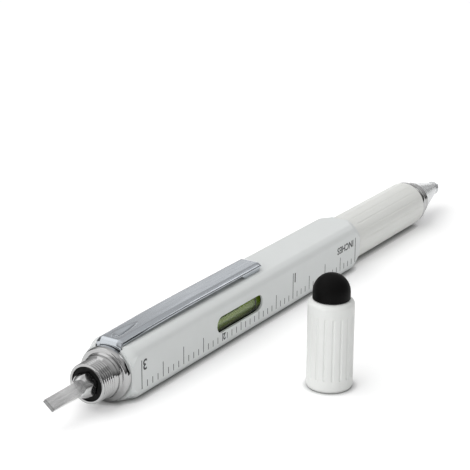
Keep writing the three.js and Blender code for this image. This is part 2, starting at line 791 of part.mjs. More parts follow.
// Grip and cap share the flutes: shallow round-bottomed grooves along X, set round the diameter

function cutFlutes(solid, diameter, x0, x1) {
  let fluted = solid;
  for (let i = 0; i < fluteCount; i += 1) {
    const angle = (2 * Math.PI * i) / fluteCount;
    const centre = half(diameter) + fluteRadius - fluteDepth;
    const groove = rod(x0, x1, 2 * fluteRadius, fluteSides)
      .translate([0, centre * Math.cos(angle), centre * Math.sin(angle)]);
    fluted = fluted.subtract(groove);
  }
  return fluted;
}

function makeGrip() {
  const [radius, boreRadius] = [half(gripDiameter), half(gripBore)];
  const shell = turned([
    [gripRear, boreRadius],
    [gripRear, radius - gripEndRound],
    [gripRear + gripEndRound, radius],
    [gripFront - gripEndRound, radius],
    [gripFront, radius - gripEndRound],
    [gripFront, boreRadius],
    [gripRear, boreRadius],
  ]);
  return cutFlutes(shell, gripDiameter, gripRear + gripPlainBand, gripFront - gripPlainBand);
}
addPiece(pen, 'grip', makeGrip(), whitePaint);

// Nose ring and nose cone

function makeNoseRing() {
  const stemRadius = half(gripBore) - seatGap;
  const stemRear = gripFront - noseStemLength;
  const coneSeat = half(coneStemDiameter) + seatGap;
  const coneSeatRear = noseSpigotFront - coneStemLength - seatGap;
  const refillHole = half(refillDiameter) + endGap;
  return turned([
    [stemRear, refillHole],
    [stemRear, stemRadius],
    [gripFront + seatGap, stemRadius],
    [gripFront + seatGap, half(noseFlangeDiameter)],
    [noseFlangeFront - noseFlangeChamfer, half(noseFlangeDiameter)],
    [noseFlangeFront, half(noseFlangeDiameter) - noseFlangeChamfer],
    [noseFlangeFront, half(noseSpigotDiameter)],
    [noseSpigotFront, half(noseSpigotDiameter)],
    [noseSpigotFront, coneSeat],
    [coneSeatRear, coneSeat],
    [coneSeatRear, refillHole],
    [stemRear, refillHole],
  ]);
}
addPiece(pen, 'nose_ring', makeNoseRing(), chrome);

function makeNoseCone() {
  const stemRear = noseSpigotFront - coneStemLength;
  const baseRear = noseSpigotFront + seatGap;
  const refillHole = half(refillDiameter) + endGap;
  const tipSlope = (half(refillDiameter) - half(ballDiameter) - ballSeatWall) / refillTaper;
  const taperRear = beadFront - (refillHole - half(beadHole)) / tipSlope;
  return turned([
    [stemRear, refillHole],
    [stemRear, half(coneStemDiameter)],
    [baseRear, half(coneStemDiameter)],
    [baseRear, half(coneBaseDiameter)],
    [coneFront, half(beadNeckDiameter)],
    [coneFront + beadLength / 4, half(beadDiameter)],
    [coneFront + half(beadLength), half(beadDiameter)],
    [beadFront, half(beadHole) + beadLength / 4],
    [beadFront, half(beadHole)],
    [taperRear, refillHole],
    [stemRear, refillHole],
  ], boreSides);
}
addPiece(pen, 'nose_cone', makeNoseCone(), satinChrome);

// Refill: a thin tube in the carrier, with a conical tip that holds the ball

function makeRefillTube() {
  const front = refillFront - refillTipLength;
  return tube(refillRear, front, refillDiameter, refillDiameter - 2 * refillWall, smallSides);
}

function makeRefillTip() {
  const rear = refillFront - refillTipLength;
  const plugRadius = half(refillDiameter) - refillWall - seatGap;
  const seatRadius = half(ballDiameter) + seatGap;
  const lip = refillFront - half(ballDiameter);
  return turned([
    [rear - refillDiameter, 0],
    [rear - refillDiameter, plugRadius],
    [rear + seatGap, plugRadius],
    [rear + seatGap, half(refillDiameter)],
    [lip - refillTaper, half(refillDiameter)],
    [lip, seatRadius + ballSeatWall],
    [lip, seatRadius],
    [lip - half(ballDiameter) - seatGap, seatRadius],
    [lip - half(ballDiameter) - seatGap, 0],
  ], smallSides);
}

function makeBall() {
  return toSolid(new THREE.SphereGeometry(half(ballDiameter), fineSides, fluteSides)
    .translate(refillFront - half(ballDiameter), 0, 0));
}
addPiece(pen, 'refill_tube', makeRefillTube(), brass);
addPiece(pen, 'refill_tip', makeRefillTip(), satinChrome);
addPiece(pen, 'writing_ball', makeBall(), steel);

// Cap: turned about X with its open end at zero, and stood up on that end

function makeCapShell() {
  const [radius, boreRadius] = [half(capDiameter), half(capBore)];
  const neckHole = half(stylusNeckDiameter) + seatGap;
  const shell = turned([
    [0, boreRadius],
    [0, radius - capRimRound],
    [half(capRimRound), radius - capRimRound / 4],
    [capRimRound, radius],
    [capHeight - capShoulder, radius],
    [capHeight - half(capShoulder), radius - capShoulder / 4],
    [capHeight, radius - capShoulder],
    [capHeight, neckHole],
    [capBoreDepth, neckHole],
    [capBoreDepth, boreRadius],
    [0, boreRadius],
  ]);
  return cutFlutes(shell, capDiameter, capBandBottom, capHeight - capBandTop);
}

// The dome's outline: a half circle on a short straight side.
function domeOutline(radius, base, top) {
  const outline = [[base, radius]];
  for (let i = 0; i < fluteSides; i += 1) {
    const angle = (Math.PI / 2) * (i / fluteSides);
    outline.push([top - radius + radius * Math.sin(angle), radius * Math.cos(angle)]);
  }
  outline.push([top, 0]);
  return outline;
}

function makeStylusTip() {
  const radius = half(stylusDiameter);
  const base = capHeight + seatGap;
  const neck = half(stylusNeckDiameter);
  const inner = radius - stylusWall;
  const top = capHeight + stylusHeight;
  const neckInner = neck - stylusWall;
  const hollow = domeOutline(inner, base + stylusWall, top - stylusWall).reverse();
  return turned([
    [capBoreDepth, neckInner],
    [capBoreDepth, neck],
    [base, neck],
    ...domeOutline(radius, base, top),
    ...hollow,
    [base + stylusWall, neckInner],
    [capBoreDepth, neckInner],
  ], boreSides);
}

function makeStylusPlug() {
  const radius = half(stylusNeckDiameter) - stylusWall - seatGap;
  const headRadius = half(capBore) - runningGap;
  const low = capBoreDepth - stylusPlugHead;
  return turned([
    [low, 0],
    [low, headRadius],
    [capBoreDepth - seatGap, headRadius],
    [capBoreDepth - seatGap, radius],
    [capHeight + half(stylusHeight), radius],
    [capHeight + half(stylusHeight), 0],
  ], smallSides);
}
addPiece(cap, 'cap_shell', makeCapShell(), whitePaint);
addPiece(cap, 'stylus_tip', makeStylusTip(), blackRubber);
addPiece(cap, 'stylus_plug', makeStylusPlug(), greyPlastic);

export default part;
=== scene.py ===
import math

import bpy
from mathutils import Matrix, Vector


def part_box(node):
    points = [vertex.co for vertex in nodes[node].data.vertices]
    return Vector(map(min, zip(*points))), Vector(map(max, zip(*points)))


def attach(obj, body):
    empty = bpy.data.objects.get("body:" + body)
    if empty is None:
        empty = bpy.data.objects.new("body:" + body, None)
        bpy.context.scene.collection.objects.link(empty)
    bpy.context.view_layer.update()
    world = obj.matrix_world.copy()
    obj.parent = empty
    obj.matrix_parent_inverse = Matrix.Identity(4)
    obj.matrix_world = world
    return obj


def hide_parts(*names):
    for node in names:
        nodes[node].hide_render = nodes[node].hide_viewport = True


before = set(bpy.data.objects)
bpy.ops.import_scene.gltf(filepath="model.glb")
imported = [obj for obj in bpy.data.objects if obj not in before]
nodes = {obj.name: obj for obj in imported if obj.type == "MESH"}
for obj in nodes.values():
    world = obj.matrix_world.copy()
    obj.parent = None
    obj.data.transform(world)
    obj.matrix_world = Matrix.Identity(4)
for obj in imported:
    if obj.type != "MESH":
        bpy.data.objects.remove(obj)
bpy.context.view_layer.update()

mm = 0.001
axisHeight = 5 * mm
penAxis = Vector((0, 0, axisHeight))
overrun = 1 * mm  # how far a cutter reaches past what it cuts
quarterTurn = math.pi / 2
meshCare = {  # lengths, angles in degrees, and the share of its length that an edge runs along
    "mergeWithin": 0.002 * mm, "copyMergeWithin": 0.001 * mm, "copyFlatWithin": 0.5,
    "edgeAngle": 30, "edgeSegments": 2, "smoothAngle": 32, "normalWeight": 60, "turnSteps": 96,
    "alongShare": 0.9,
}


def deselect():
    if bpy.context.mode != "OBJECT":
        bpy.ops.object.mode_set(mode="OBJECT")
    bpy.ops.object.select_all(action="DESELECT")


def activate(piece):
    deselect()
    piece.select_set(True)
    bpy.context.view_layer.objects.active = piece


def applyModifier(piece, kind, **settings):
    activate(piece)
    modifier = piece.modifiers.new(kind.title(), kind)
    for key, value in settings.items():
        setattr(modifier, key, value)
    bpy.ops.object.modifier_apply(modifier=modifier.name)


def applyPlace(piece):
    activate(piece)
    bpy.ops.object.transform_apply(location=True, rotation=True, scale=True)


def joinPieces(pieces):
    deselect()
    for piece in pieces:
        piece.select_set(True)
    bpy.context.view_layer.objects.active = pieces[0]
    bpy.ops.object.join()
    return bpy.context.object


# Cuts, or keeps what is common to both, and removes the cutter.
def cutWith(piece, cutter, operation="DIFFERENCE"):
    applyModifier(piece, "BOOLEAN", object=cutter, operation=operation, solver="EXACT")
    bpy.data.objects.remove(cutter)


def roundEdges(piece, width, angle=meshCare["edgeAngle"]):
    applyModifier(
        piece, "BEVEL", width=width, segments=meshCare["edgeSegments"], limit_method="ANGLE",
        angle_limit=math.radians(angle), use_clamp_overlap=True, miter_outer="MITER_ARC",
    )


def smoothFaces(piece, angle=meshCare["smoothAngle"], weighted=True):
    activate(piece)
    bpy.ops.object.shade_smooth_by_angle(angle=math.radians(angle))
    if weighted:
        weight = meshCare["normalWeight"]
        applyModifier(piece, "WEIGHTED_NORMAL", keep_sharp=True, weight=weight)


# Gives a finished piece its name, finish and body, and hides the nodes that it stands for.
def finishPiece(piece, name, finishName, body, slotName, *stoodFor):
    applyPlace(piece)
    piece.name = name
    piece.data.name = name
    piece.data.materials.clear()
    piece.data.materials.append(finish[finishName])
    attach(piece, body)
    if stoodFor:
        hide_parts(*stoodFor)


# Turns an outline of (place along the axis, radius) pairs round the pen's axis, or upright.
def turnPiece(outline, centre=penAxis, upright=False, steps=meshCare["turnSteps"]):
    if upright:
        points = [centre + Vector((radius, 0, place)) for place, radius in outline]
    else:
        points = [centre + Vector((place, 0, radius)) for place, radius in outline]
    deselect()
    bpy.ops.mesh.primitive_plane_add(size=mm, location=points[0])
    piece = bpy.context.object
    bpy.ops.object.mode_set(mode="EDIT")
    bpy.ops.mesh.select_mode(type="VERT")
    bpy.ops.mesh.select_all(action="SELECT")
    bpy.ops.mesh.merge(type="CENTER")
    for before, after in zip(points, points[1:]):
        bpy.ops.mesh.extrude_vertices_move(TRANSFORM_OT_translate={"value": after - before})
    bpy.ops.mesh.select_all(action="SELECT")
    axis = (0, 0, 1) if upright else (1, 0, 0)
    bpy.ops.mesh.spin(steps=steps, angle=2 * math.pi, center=centre, axis=axis)
    bpy.ops.mesh.select_all(action="SELECT")
    bpy.ops.mesh.remove_doubles(threshold=meshCare["mergeWithin"])
    bpy.ops.mesh.normals_make_consistent(inside=False)
    bpy.ops.object.mode_set(mode="OBJECT")
    applyPlace(piece)
    return piece


def rod(low, high, diameter, centre, grow=0.0):
    low, high, radius = low - grow, high + grow, diameter / 2
    return turnPiece([(low, 0), (low, radius), (high, radius), (high, 0)], centre)


def blockBetween(low, high):
    low, high = Vector(low), Vector(high)
    deselect()
    bpy.ops.mesh.primitive_cube_add(size=1, location=(low + high) / 2, scale=high - low)
    return bpy.context.object


# Rounds the edges of a block that run along one axis.
def roundAlong(piece, axis, radius, segments):
    activate(piece)
    bpy.ops.object.mode_set(mode="EDIT")
    bpy.ops.mesh.select_mode(type="EDGE")
    bpy.ops.mesh.select_all(action="DESELECT")
    bpy.ops.object.mode_set(mode="OBJECT")
    vertices = piece.data.vertices
    for edge in piece.data.edges:
        run = vertices[edge.vertices[1]].co - vertices[edge.vertices[0]].co
        edge.select = abs(run[axis]) > meshCare["alongShare"] * run.length
    bpy.ops.object.mode_set(mode="EDIT")
    bpy.ops.mesh.bevel(offset=radius, segments=segments, affect="EDGES")
    bpy.ops.mesh.select_all(action="SELECT")
    bpy.ops.mesh.remove_doubles(threshold=meshCare["mergeWithin"])
    bpy.ops.object.mode_set(mode="OBJECT")
    return piece


# A copy of a CAD node, made one skin again, to be given softer edges.
def copyNode(name):
    deselect()
    piece = nodes[name].copy()
    piece.data = nodes[name].data.copy()
    bpy.context.scene.collection.objects.link(piece)
    for key in list(piece.keys()):
        del piece[key]
    piece.parent = None
    activate(piece)
    bpy.ops.object.mode_set(mode="EDIT")
    bpy.ops.mesh.select_all(action="SELECT")
    bpy.ops.mesh.remove_doubles(threshold=meshCare["copyMergeWithin"])
    bpy.ops.mesh.dissolve_limited(angle_limit=math.radians(meshCare["copyFlatWithin"]))
    bpy.ops.object.mode_set(mode="OBJECT")
    return piece


view = {
    "place": (-0.2424, -0.1548, 0.1187), "near": 0.01,
    "down": 19.27, "heading": 57.39, "roll": 0.34,  # degrees
    "lens": 123.2, "sensor": 36,
}


def addCamera():
    down, heading, roll = (math.radians(view[key]) for key in ("down", "heading", "roll"))
    camera = bpy.data.objects.new("camera", bpy.data.cameras.new("camera"))
    bpy.context.scene.collection.objects.link(camera)
    lean = Matrix.Rotation(quarterTurn - down, 4, "X")
    turn = Matrix.Rotation(-heading, 4, "Z") @ lean @ Matrix.Rotation(roll, 4, "Z")
    camera.matrix_world = Matrix.Translation(view["place"]) @ turn
    camera.data.lens = view["lens"]
    camera.data.sensor_width = view["sensor"]
    camera.data.clip_start = view["near"]
    bpy.context.scene.camera = camera


addCamera()
print("camera placed")


# Sets a node's inputs by name or number: an output is linked, a plain value is written in.
def feed(tree, node, values):
    for name, value in values.items():
        if isinstance(value, bpy.types.NodeSocket):
            tree.links.new(value, node.inputs[name])
        else:
            node.inputs[name].default_value = value


def addNode(tree, kind, values=None, **settings):
    node = tree.nodes.new("ShaderNode" + kind)
    for key, value in settings.items():
        setattr(node, key, value)
    feed(tree, node, values or {})
    return node.outputs


def addMath(tree, operation, first, second):
    return addNode(tree, "Math", {0: first, 1: second}, operation=operation)[0]


def addMix(tree, factor, first, second, blend="MIX"):
    values = {"Factor": factor, "A": first, "B": second}
    return addNode(tree, "Mix", values, data_type="RGBA", blend_type=blend)["Result"]


def addRange(tree, value, source, result=(0, 1)):
    values = dict(zip(("From Min", "From Max", "To Min", "To Max"), (*source, *result)))
    return addNode(tree, "MapRange", {"Value": value, **values})["Result"]


def addSplit(tree, vector):
    return addNode(tree, "SeparateXYZ", {"Vector": vector})


def addShared(tree, group, **values):
    return addNode(tree, "Group", values, node_tree=group)


def addRamp(tree, value, stops):
    node = tree.nodes.new("ShaderNodeValToRGB")
    elements = node.color_ramp.elements
    while len(elements) < len(stops):
        elements.new(0.5)
    for element, (place, shade) in zip(elements, stops):
        element.position = place
        element.color = (shade, shade, shade, 1)
    feed(tree, node, {"Fac": value})
    return node.outputs["Color"]


def addBump(tree, height, strength, under=None):
    values = {"Strength": strength, "Distance": surfaceLook["bumpHeight"], "Height": height}
    if under:
        values["Normal"] = under
    return addNode(tree, "Bump", values)["Normal"]


def newGroup(name, inputs, outputs):
    group = bpy.data.node_groups.new(name, "ShaderNodeTree")
    for socketName, value in inputs.items():
        kind = "NodeSocketVector" if value is None else "NodeSocketFloat"  # None: a vector
        socket = group.interface.new_socket(socketName, in_out="INPUT", socket_type=kind)
        if value is not None:
            socket.default_value = value
    for socketName in outputs:
        group.interface.new_socket(socketName, in_out="OUTPUT", socket_type="NodeSocketFloat")
    entry, leave = group.nodes.new("NodeGroupInput"), group.nodes.new("NodeGroupOutput")
    return group, entry.outputs, leave


def newMaterial(name):
    material = bpy.data.materials.new(name)
    material.use_nodes = True
    return material, material.node_tree, material.node_tree.nodes["Principled BSDF"]


surfaceLook = {
    "coatRoughness": 0.12, "specular": 0.5, "bumpHeight": 0.02 * mm,
    "grainRange": (0.3, 0.7),  # the part of the noise that carries the roughness from end to end
    "grainDetail": 3.0, "blotchShare": 0.06, "blotchDetail": 2.0,
    "wearRadius": 0.1 * mm, "wearSamples": 4, "lineDetail": 2.0,
}


# Fine grain for bumps and gloss, and slow blotches for colour.
def makeGrainGroup():
    look = surfaceLook
    group, entry, leave = newGroup(
        "surfaceGrain", {"Vector": None, "Scale": 4000.0}, ["Grain", "Blotch"],
    )
    for output, share, detail in (
        ("Grain", 1.0, look["grainDetail"]), ("Blotch", look["blotchShare"], look["blotchDetail"]),
    ):
        scale = addMath(group, "MULTIPLY", entry["Scale"], share)
        values = {"Detail": detail, "Vector": entry["Vector"], "Scale": scale}
        feed(group, leave, {output: addNode(group, "TexNoise", values)["Fac"]})
    return group


# Rubbed edges: where a softened normal leaves the true one, broken up by noise.
def makeWearGroup():
    group, entry, leave = newGroup(
        "edgeWear", {"Radius": surfaceLook["wearRadius"], "Amount": 4.0, "Break": 0.5}, ["Wear"],
    )
    samples = surfaceLook["wearSamples"]
    soft = addNode(group, "Bevel", {"Radius": entry["Radius"]}, samples=samples)["Normal"]
    true = addNode(group, "NewGeometry")["Normal"]
    alike = addNode(group, "VectorMath", {0: soft, 1: true}, operation="DOT_PRODUCT")["Value"]
    away = addMath(group, "SUBTRACT", 1.0, alike)
    strong = addMath(group, "MULTIPLY", away, entry["Amount"])
    broken = addMath(group, "MULTIPLY", strong, entry["Break"])
    feed(group, leave, {"Wear": addMath(group, "MINIMUM", broken, 1.0)})
    return group


# Fine rings left by turning, read along one axis of the piece.
def makeTurningGroup():
    group, entry, leave = newGroup("turningLines", {"Place": 0.0, "Lines": 9000.0}, ["Height"])
    values = {
        "Detail": surfaceLook["lineDetail"], "W": entry["Place"], "Scale": entry["Lines"],
    }
    lines = addNode(group, "TexNoise", values, noise_dimensions="1D")
    feed(group, leave, {"Height": lines["Fac"]})
    return group


surfaceGrain = makeGrainGroup()
edgeWear = makeWearGroup()
turningLines = makeTurningGroup()

# Colour and the shade that it drifts to, the bare colour of rubbed edges and how much of it
# shows, the range of roughness, the grain's scale and height, and the lines left by turning.
finishes = {
    "whiteLacquer": {
        "colour": (0.675, 0.695, 0.69), "shade": (0.65, 0.67, 0.665),
        "worn": (0.80, 0.81, 0.80), "wear": 1.2,
        "roughness": (0.40, 0.50), "coat": 0.12, "scale": 6000, "bump": 0.05,
    },
    "warmLacquer": {
        "colour": (0.73, 0.735, 0.71), "shade": (0.70, 0.705, 0.68),
        "worn": (0.80, 0.80, 0.78), "wear": 1.2,
        "roughness": (0.32, 0.42), "coat": 0.2, "scale": 6000, "bump": 0.05,
    },
    "capLacquer": {
        "colour": (0.70, 0.71, 0.695), "shade": (0.67, 0.68, 0.665),
        "worn": (0.82, 0.82, 0.80), "wear": 1.2,
        "roughness": (0.36, 0.46), "coat": 0.15, "scale": 6000, "bump": 0.05,
    },
    "clipChrome": {
        "colour": (0.56, 0.59, 0.62), "shade": (0.52, 0.55, 0.59),
        "worn": (0.85, 0.87, 0.88), "wear": 2.0, "metallic": 1.0,
        "roughness": (0.13, 0.22), "scale": 3000, "stretch": (0.05, 1, 1), "bump": 0.08,
    },
    "polishedChrome": {
        "colour": (0.52, 0.52, 0.52), "shade": (0.47, 0.47, 0.47),
        "worn": (0.80, 0.80, 0.80), "wear": 1.5, "metallic": 1.0,
        "roughness": (0.05, 0.12), "scale": 2500, "bump": 0.03, "lines": 7000, "lineBump": 0.04,
    },
    "satinChrome": {
        "colour": (0.72, 0.73, 0.74), "shade": (0.66, 0.67, 0.68),
        "worn": (0.84, 0.84, 0.84), "wear": 1.5, "metallic": 1.0,
        "roughness": (0.24, 0.29), "scale": 3500, "bump": 0.004,
        "lines": 9000, "lineBump": 0.004,
    },
    "bitSteel": {
        "colour": (1.0, 1.0, 1.0), "shade": (0.34, 0.34, 0.34),
        "worn": (0.88, 0.88, 0.88), "wear": 3.0, "metallic": 1.0,
        "roughness": (0.16, 0.28), "scale": 24000, "stretch": (0.10, 1, 1), "bump": 0.1,
        # painted shade and reflection: darker along the blade's edge and towards its root
        "paintedShadeReach": (-56.9 * mm, -46.5 * mm),
        "paintedShade": [
            (0.0, 0.4), (0.012, 0.5), (0.024, 0.84), (0.45, 1.0), (0.72, 0.9), (0.86, 0.62),
            (1.0, 0.9),
        ],
    },
    "brassMetal": {
        "colour": (0.70, 0.53, 0.25), "shade": (0.60, 0.44, 0.19),
        "worn": (0.84, 0.70, 0.42), "wear": 2.0, "metallic": 1.0,
        "roughness": (0.22, 0.36), "scale": 3000, "bump": 0.06, "lines": 8000, "lineBump": 0.1,
    },
    "blackPlastic": {
        "colour": (0.006, 0.006, 0.006), "shade": (0.004, 0.004, 0.004),
        "worn": (0.02, 0.02, 0.02), "wear": 0.6,
        "roughness": (0.45, 0.62), "scale": 9000, "bump": 0.15, "specular": 0.12,
    },
    "greyPlastic": {
        "colour": (0.30, 0.31, 0.32), "shade": (0.26, 0.27, 0.28),
        "worn": (0.42, 0.42, 0.42), "wear": 1.0,
        "roughness": (0.42, 0.58), "scale": 9000, "bump": 0.12,
    },
    "stylusRubber": {
        "colour": (0.003, 0.0028, 0.0028), "shade": (0.002, 0.0019, 0.0019),
        "worn": (0.012, 0.012, 0.012), "wear": 0.3,
        "roughness": (0.48, 0.62), "scale": 12000, "bump": 0.2, "specular": 0.09,
    },
    "ruleInk": {
        "colour": (0.035, 0.036, 0.038), "shade": (0.055, 0.056, 0.058),
        "roughness": (0.45, 0.6), "scale": 16000, "bump": 0.1,
    },
}


def makeFinish(name):
    look = finishes[name]
    material, tree, shader = newMaterial(name)
    place = addNode(tree, "TexCoord")["Object"]
    stretch = {"Vector": place, "Scale": look.get("stretch", (1, 1, 1))}
    stretched = addNode(tree, "Mapping", stretch)["Vector"]
    grain = addShared(tree, surfaceGrain, Scale=look["scale"], Vector=stretched)

    surface = addMix(tree, grain["Blotch"], (*look["colour"], 1), (*look["shade"], 1))
    if "wear" in look:
        wear = addShared(tree, edgeWear, Amount=look["wear"], Break=grain["Grain"])
        surface = addMix(tree, wear["Wear"], surface, (*look["worn"], 1))
    # Painted shade and reflection, where a finish has them: the colour darkens by a ramp along X.
    if "paintedShade" in look:
        along = addRange(tree, addSplit(tree, place)["X"], look["paintedShadeReach"])
        surface = addMix(tree, 1.0, surface, addRamp(tree, along, look["paintedShade"]), "MULTIPLY")
    if "coat" in look:
        coat = {"Coat Weight": look["coat"], "Coat Roughness": surfaceLook["coatRoughness"]}
        feed(tree, shader, coat)

    under = None
    if "lines" in look:
        along = addSplit(tree, place)["X"]
        rings = addShared(tree, turningLines, Lines=look["lines"], Place=along)
        under = addBump(tree, rings["Height"], look["lineBump"])
    feed(tree, shader, {
        "Base Color": surface, "Metallic": look.get("metallic", 0.0),
        "Roughness": addRange(tree, grain["Grain"], surfaceLook["grainRange"], look["roughness"]),
        "Specular IOR Level": look.get("specular", surfaceLook["specular"]),
        "Normal": addBump(tree, grain["Grain"], look["bump"], under),
    })
    return material


clearLooks = {
    "vialAcrylic": {
        "colour": (0.76, 0.83, 0.50), "shade": (0.72, 0.80, 0.44),
        "roughness": (0.02, 0.06), "ior": 1.49, "clear": 1.0,
    },
    "levelFluid": {
        "colour": (0.20, 0.30, 0.012), "shade": (0.15, 0.23, 0.006),
        "roughness": (0.0, 0.02), "ior": 1.36, "clear": 0.4,
        # painted light: the fluid gives off light of its own, more at its end
        "paintedGlow": (0.030, 0.042, 0.003), "paintedEndGlow": (0.075, 0.110, 0.006),
    },
    "levelBubble": {
        "colour": (0.24, 0.32, 0.19), "shade": (0.20, 0.28, 0.14),
        "roughness": (0.1, 0.2), "ior": 1.2, "clear": 0.7,
        # painted light: the bubble gives off light of its own, more at the fluid's end
        "paintedGlow": (0.018, 0.026, 0.016), "paintedEndGlow": (0.04, 0.06, 0.02),
    },
}
clearGrain = 2500
paintedGlowEnds = (-13.2 * mm, -11.6 * mm)  # the painted glow at the fluid's end fades out between these places


def makeClear(name):
    look = clearLooks[name]
    material, tree, shader = newMaterial(name)
    place = addNode(tree, "TexCoord")["Object"]
    grain = addShared(tree, surfaceGrain, Scale=clearGrain, Vector=place)
    # Painted light: the fluid and the bubble glow by emission, brighter at the fluid's end, though
    # they are no lamp.
    if "paintedGlow" in look:
        fade = addRange(tree, addSplit(tree, place)["X"], paintedGlowEnds)
        paintedGlow = addMix(tree, fade, (*look["paintedEndGlow"], 1), (*look["paintedGlow"], 1))
        feed(tree, shader, {"Emission Color": paintedGlow, "Emission Strength": 1.0})
    feed(tree, shader, {
        "Base Color": addMix(tree, grain["Blotch"], (*look["colour"], 1), (*look["shade"], 1)),
        "Roughness": addRange(tree, grain["Grain"], (0, 1), look["roughness"]),
        "Transmission Weight": look["clear"], "IOR": look["ior"],
    })
    return material


finish = {name: makeFinish(name) for name in finishes}
finish.update({name: makeClear(name) for name in clearLooks})
print("finishes made")


barrelLook = {
    "across": 10 * mm, "corner": 2 * mm, "cornerSteps": 10, "bore": 8.2 * mm,
    "endDiameter": 10.7 * mm, "taper": 1.85 * mm, "lip": 0.4 * mm, "endSteps": 128,
    "windowLength": 15.8 * mm, "windowHeight": 3.2 * mm, "windowRise": 0.3 * mm,
    "windowMiddle": -6.17 * mm, "windowWall": 0.42 * mm, "pocket": 0.9 * mm,
    "windowRound": 0.995, "windowSteps": 12,  # end radius as a share of half the height
    "notchWidth": 5.4 * mm, "notchDepth": 0.85 * mm, "notchLength": 0.6 * mm,
    "edge": 0.07 * mm,
}


def windowBlock(look, yLow, yHigh, wider=0.0):
    half, rise = look["windowLength"] / 2 + wider, look["windowHeight"] / 2 + wider
    middle, height = look["windowMiddle"], axisHeight + look["windowRise"]
    block = blockBetween(
        (middle - half, yLow, height - rise), (middle + half, yHigh, height + rise),
    )
    applyPlace(block)
    return roundAlong(block, 1, look["windowRound"] * rise, look["windowSteps"])


def makeBarrel():
    look = barrelLook
    low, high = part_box("barrel")
    body = blockBetween(low, high)
    applyPlace(body)
    roundAlong(body, 0, look["corner"], look["cornerSteps"])
    cornerRadius = math.sqrt(2) * (look["across"] / 2 - look["corner"]) + look["corner"]
    endRadius = look["endDiameter"] / 2
    reach = cornerRadius + overrun
    run = (reach - endRadius) / (cornerRadius - endRadius) * look["taper"]
    rear, front = low.x + look["lip"], high.x - look["lip"]
    turnedEnds = turnPiece([
        (low.x - overrun, 0), (low.x - overrun, endRadius), (rear, endRadius),
        (rear + run, reach), (front - run, reach),
        (front, endRadius), (high.x + overrun, endRadius), (high.x + overrun, 0),
    ], steps=look["endSteps"])
    cutWith(body, turnedEnds, "INTERSECT")
    cutWith(body, rod(low.x, high.x, look["bore"], penAxis, overrun))
    cutWith(body, windowBlock(look, low.y - overrun, 0))
    cutWith(body, windowBlock(look, low.y + look["windowWall"], 0, look["pocket"]))
    half = look["notchWidth"] / 2
    notch = blockBetween(
        (low.x - overrun, -half, high.z - look["notchDepth"]),
        (low.x + look["notchLength"], half, high.z + overrun),
    )
    cutWith(body, notch)
    roundEdges(body, look["edge"])
    smoothFaces(body)
    finishPiece(body, "barrel_body", "whiteLacquer", "pen_body", "white_lacquer", "barrel")


makeBarrel()
print("barrel made")


ruleLook = {
    "zero": 38.5 * mm, "inch": 25.4 * mm, "parts": 16, "inches": 3,
    "foot": 1.93 * mm, "thickness": 0.012 * mm, "sunk": 0.01 * mm,
    "line": 0.17 * mm, "inchLine": 0.2 * mm,
    "heights": {16: 5.37 * mm, 8: 3.4 * mm, 4: 2.85 * mm, 1: 1.21 * mm},
    "windowHeight": 1.62 * mm,
    # text, place along the barrel, height of its middle and of its letters
    "digits": [
        ("1", 13.85 * mm, 6.3 * mm, 1.9 * mm),
        ("2", -11.68 * mm, 2.75 * mm, 1.3 * mm),
        ("3", -36.75 * mm, 6.35 * mm, 1.95 * mm),
    ],
    "word": ("INCHES", 34.25 * mm, 6.5 * mm, 1.4 * mm),
    "letterShare": 0.7, "letterSteps": 4, "bold": 0.05 * mm,
}


def makeRule():
    look = ruleLook
    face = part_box("barrel")[0].y
    marks = []
    low, high, foot = face - look["thickness"], face + look["sunk"], look["foot"]
    windowLow = barrelLook["windowMiddle"] - barrelLook["windowLength"] / 2
    windowHigh = barrelLook["windowMiddle"] + barrelLook["windowLength"] / 2
    for index in range(look["inches"] * look["parts"] + 1):
        place = look["zero"] - index * look["inch"] / look["parts"]
        kind = next(step for step in look["heights"] if index % step == 0)
        height = look["heights"][kind]
        if windowLow < place < windowHigh:
            height = min(height, look["windowHeight"])
        half = (look["inchLine"] if kind == look["parts"] else look["line"]) / 2
        marks.append(blockBetween((place - half, low, foot), (place + half, high, foot + height)))
    lines = joinPieces(marks)
    finishPiece(lines, "rule_lines", "ruleInk", "pen_body", "black_plastic")

    letters = []
    for text, place, height, size in [*look["digits"], look["word"]]:
        deselect()
        bpy.ops.object.text_add(location=(0, 0, 0))
        label = bpy.context.object
        label.data.body = text
        label.data.size = size / look["letterShare"]
        label.data.align_x = "CENTER"
        label.data.align_y = "CENTER"
        label.data.extrude = (look["thickness"] + look["sunk"]) / 2
        label.data.offset = look["bold"]
        label.data.resolution_u = look["letterSteps"]
        turn = Matrix(((-1, 0, 0), (0, 0, -1), (0, -1, 0))).to_4x4()
        label.matrix_world = Matrix.Translation((place, (low + high) / 2, height)) @ turn
        activate(label)
        bpy.ops.object.convert(target="MESH")
        letters.append(bpy.context.object)
    figures = joinPieces(letters)
    finishPiece(figures, "rule_figures", "ruleInk", "pen_body", "black_plastic")


makeRule()
print("rule printed")


vialLook = {
    "tube": 5.6 * mm, "bore": 4.6 * mm, "fluid": 4.5 * mm,
    "forward": 1.45 * mm, "rise": 0.08 * mm,
    "bubble": ((-15.4 * mm, 5.55 * mm), (-4.6 * mm, 9 * mm)),  # along the pen, and height
    "bubbleDepth": 8 * mm, "bubbleRound": 0.8 * mm, "bubbleSteps": 6,
    "bubbleGap": 0.03 * mm, "bubbleThinner": 0.04 * mm,
    "mark": 0.1 * mm, "markWidth": 0.4 * mm, "markOver": 0.04 * mm, "markUnder": 0.01 * mm,
}


def bubbleBlock(look, shrink):
    (left, under), (right, over) = look["bubble"]
    depth = look["bubbleDepth"]
    block = blockBetween((left + shrink, -depth, under + shrink), (right - shrink, depth, over))
    applyPlace(block)
    return roundAlong(block, 1, look["bubbleRound"], look["bubbleSteps"])


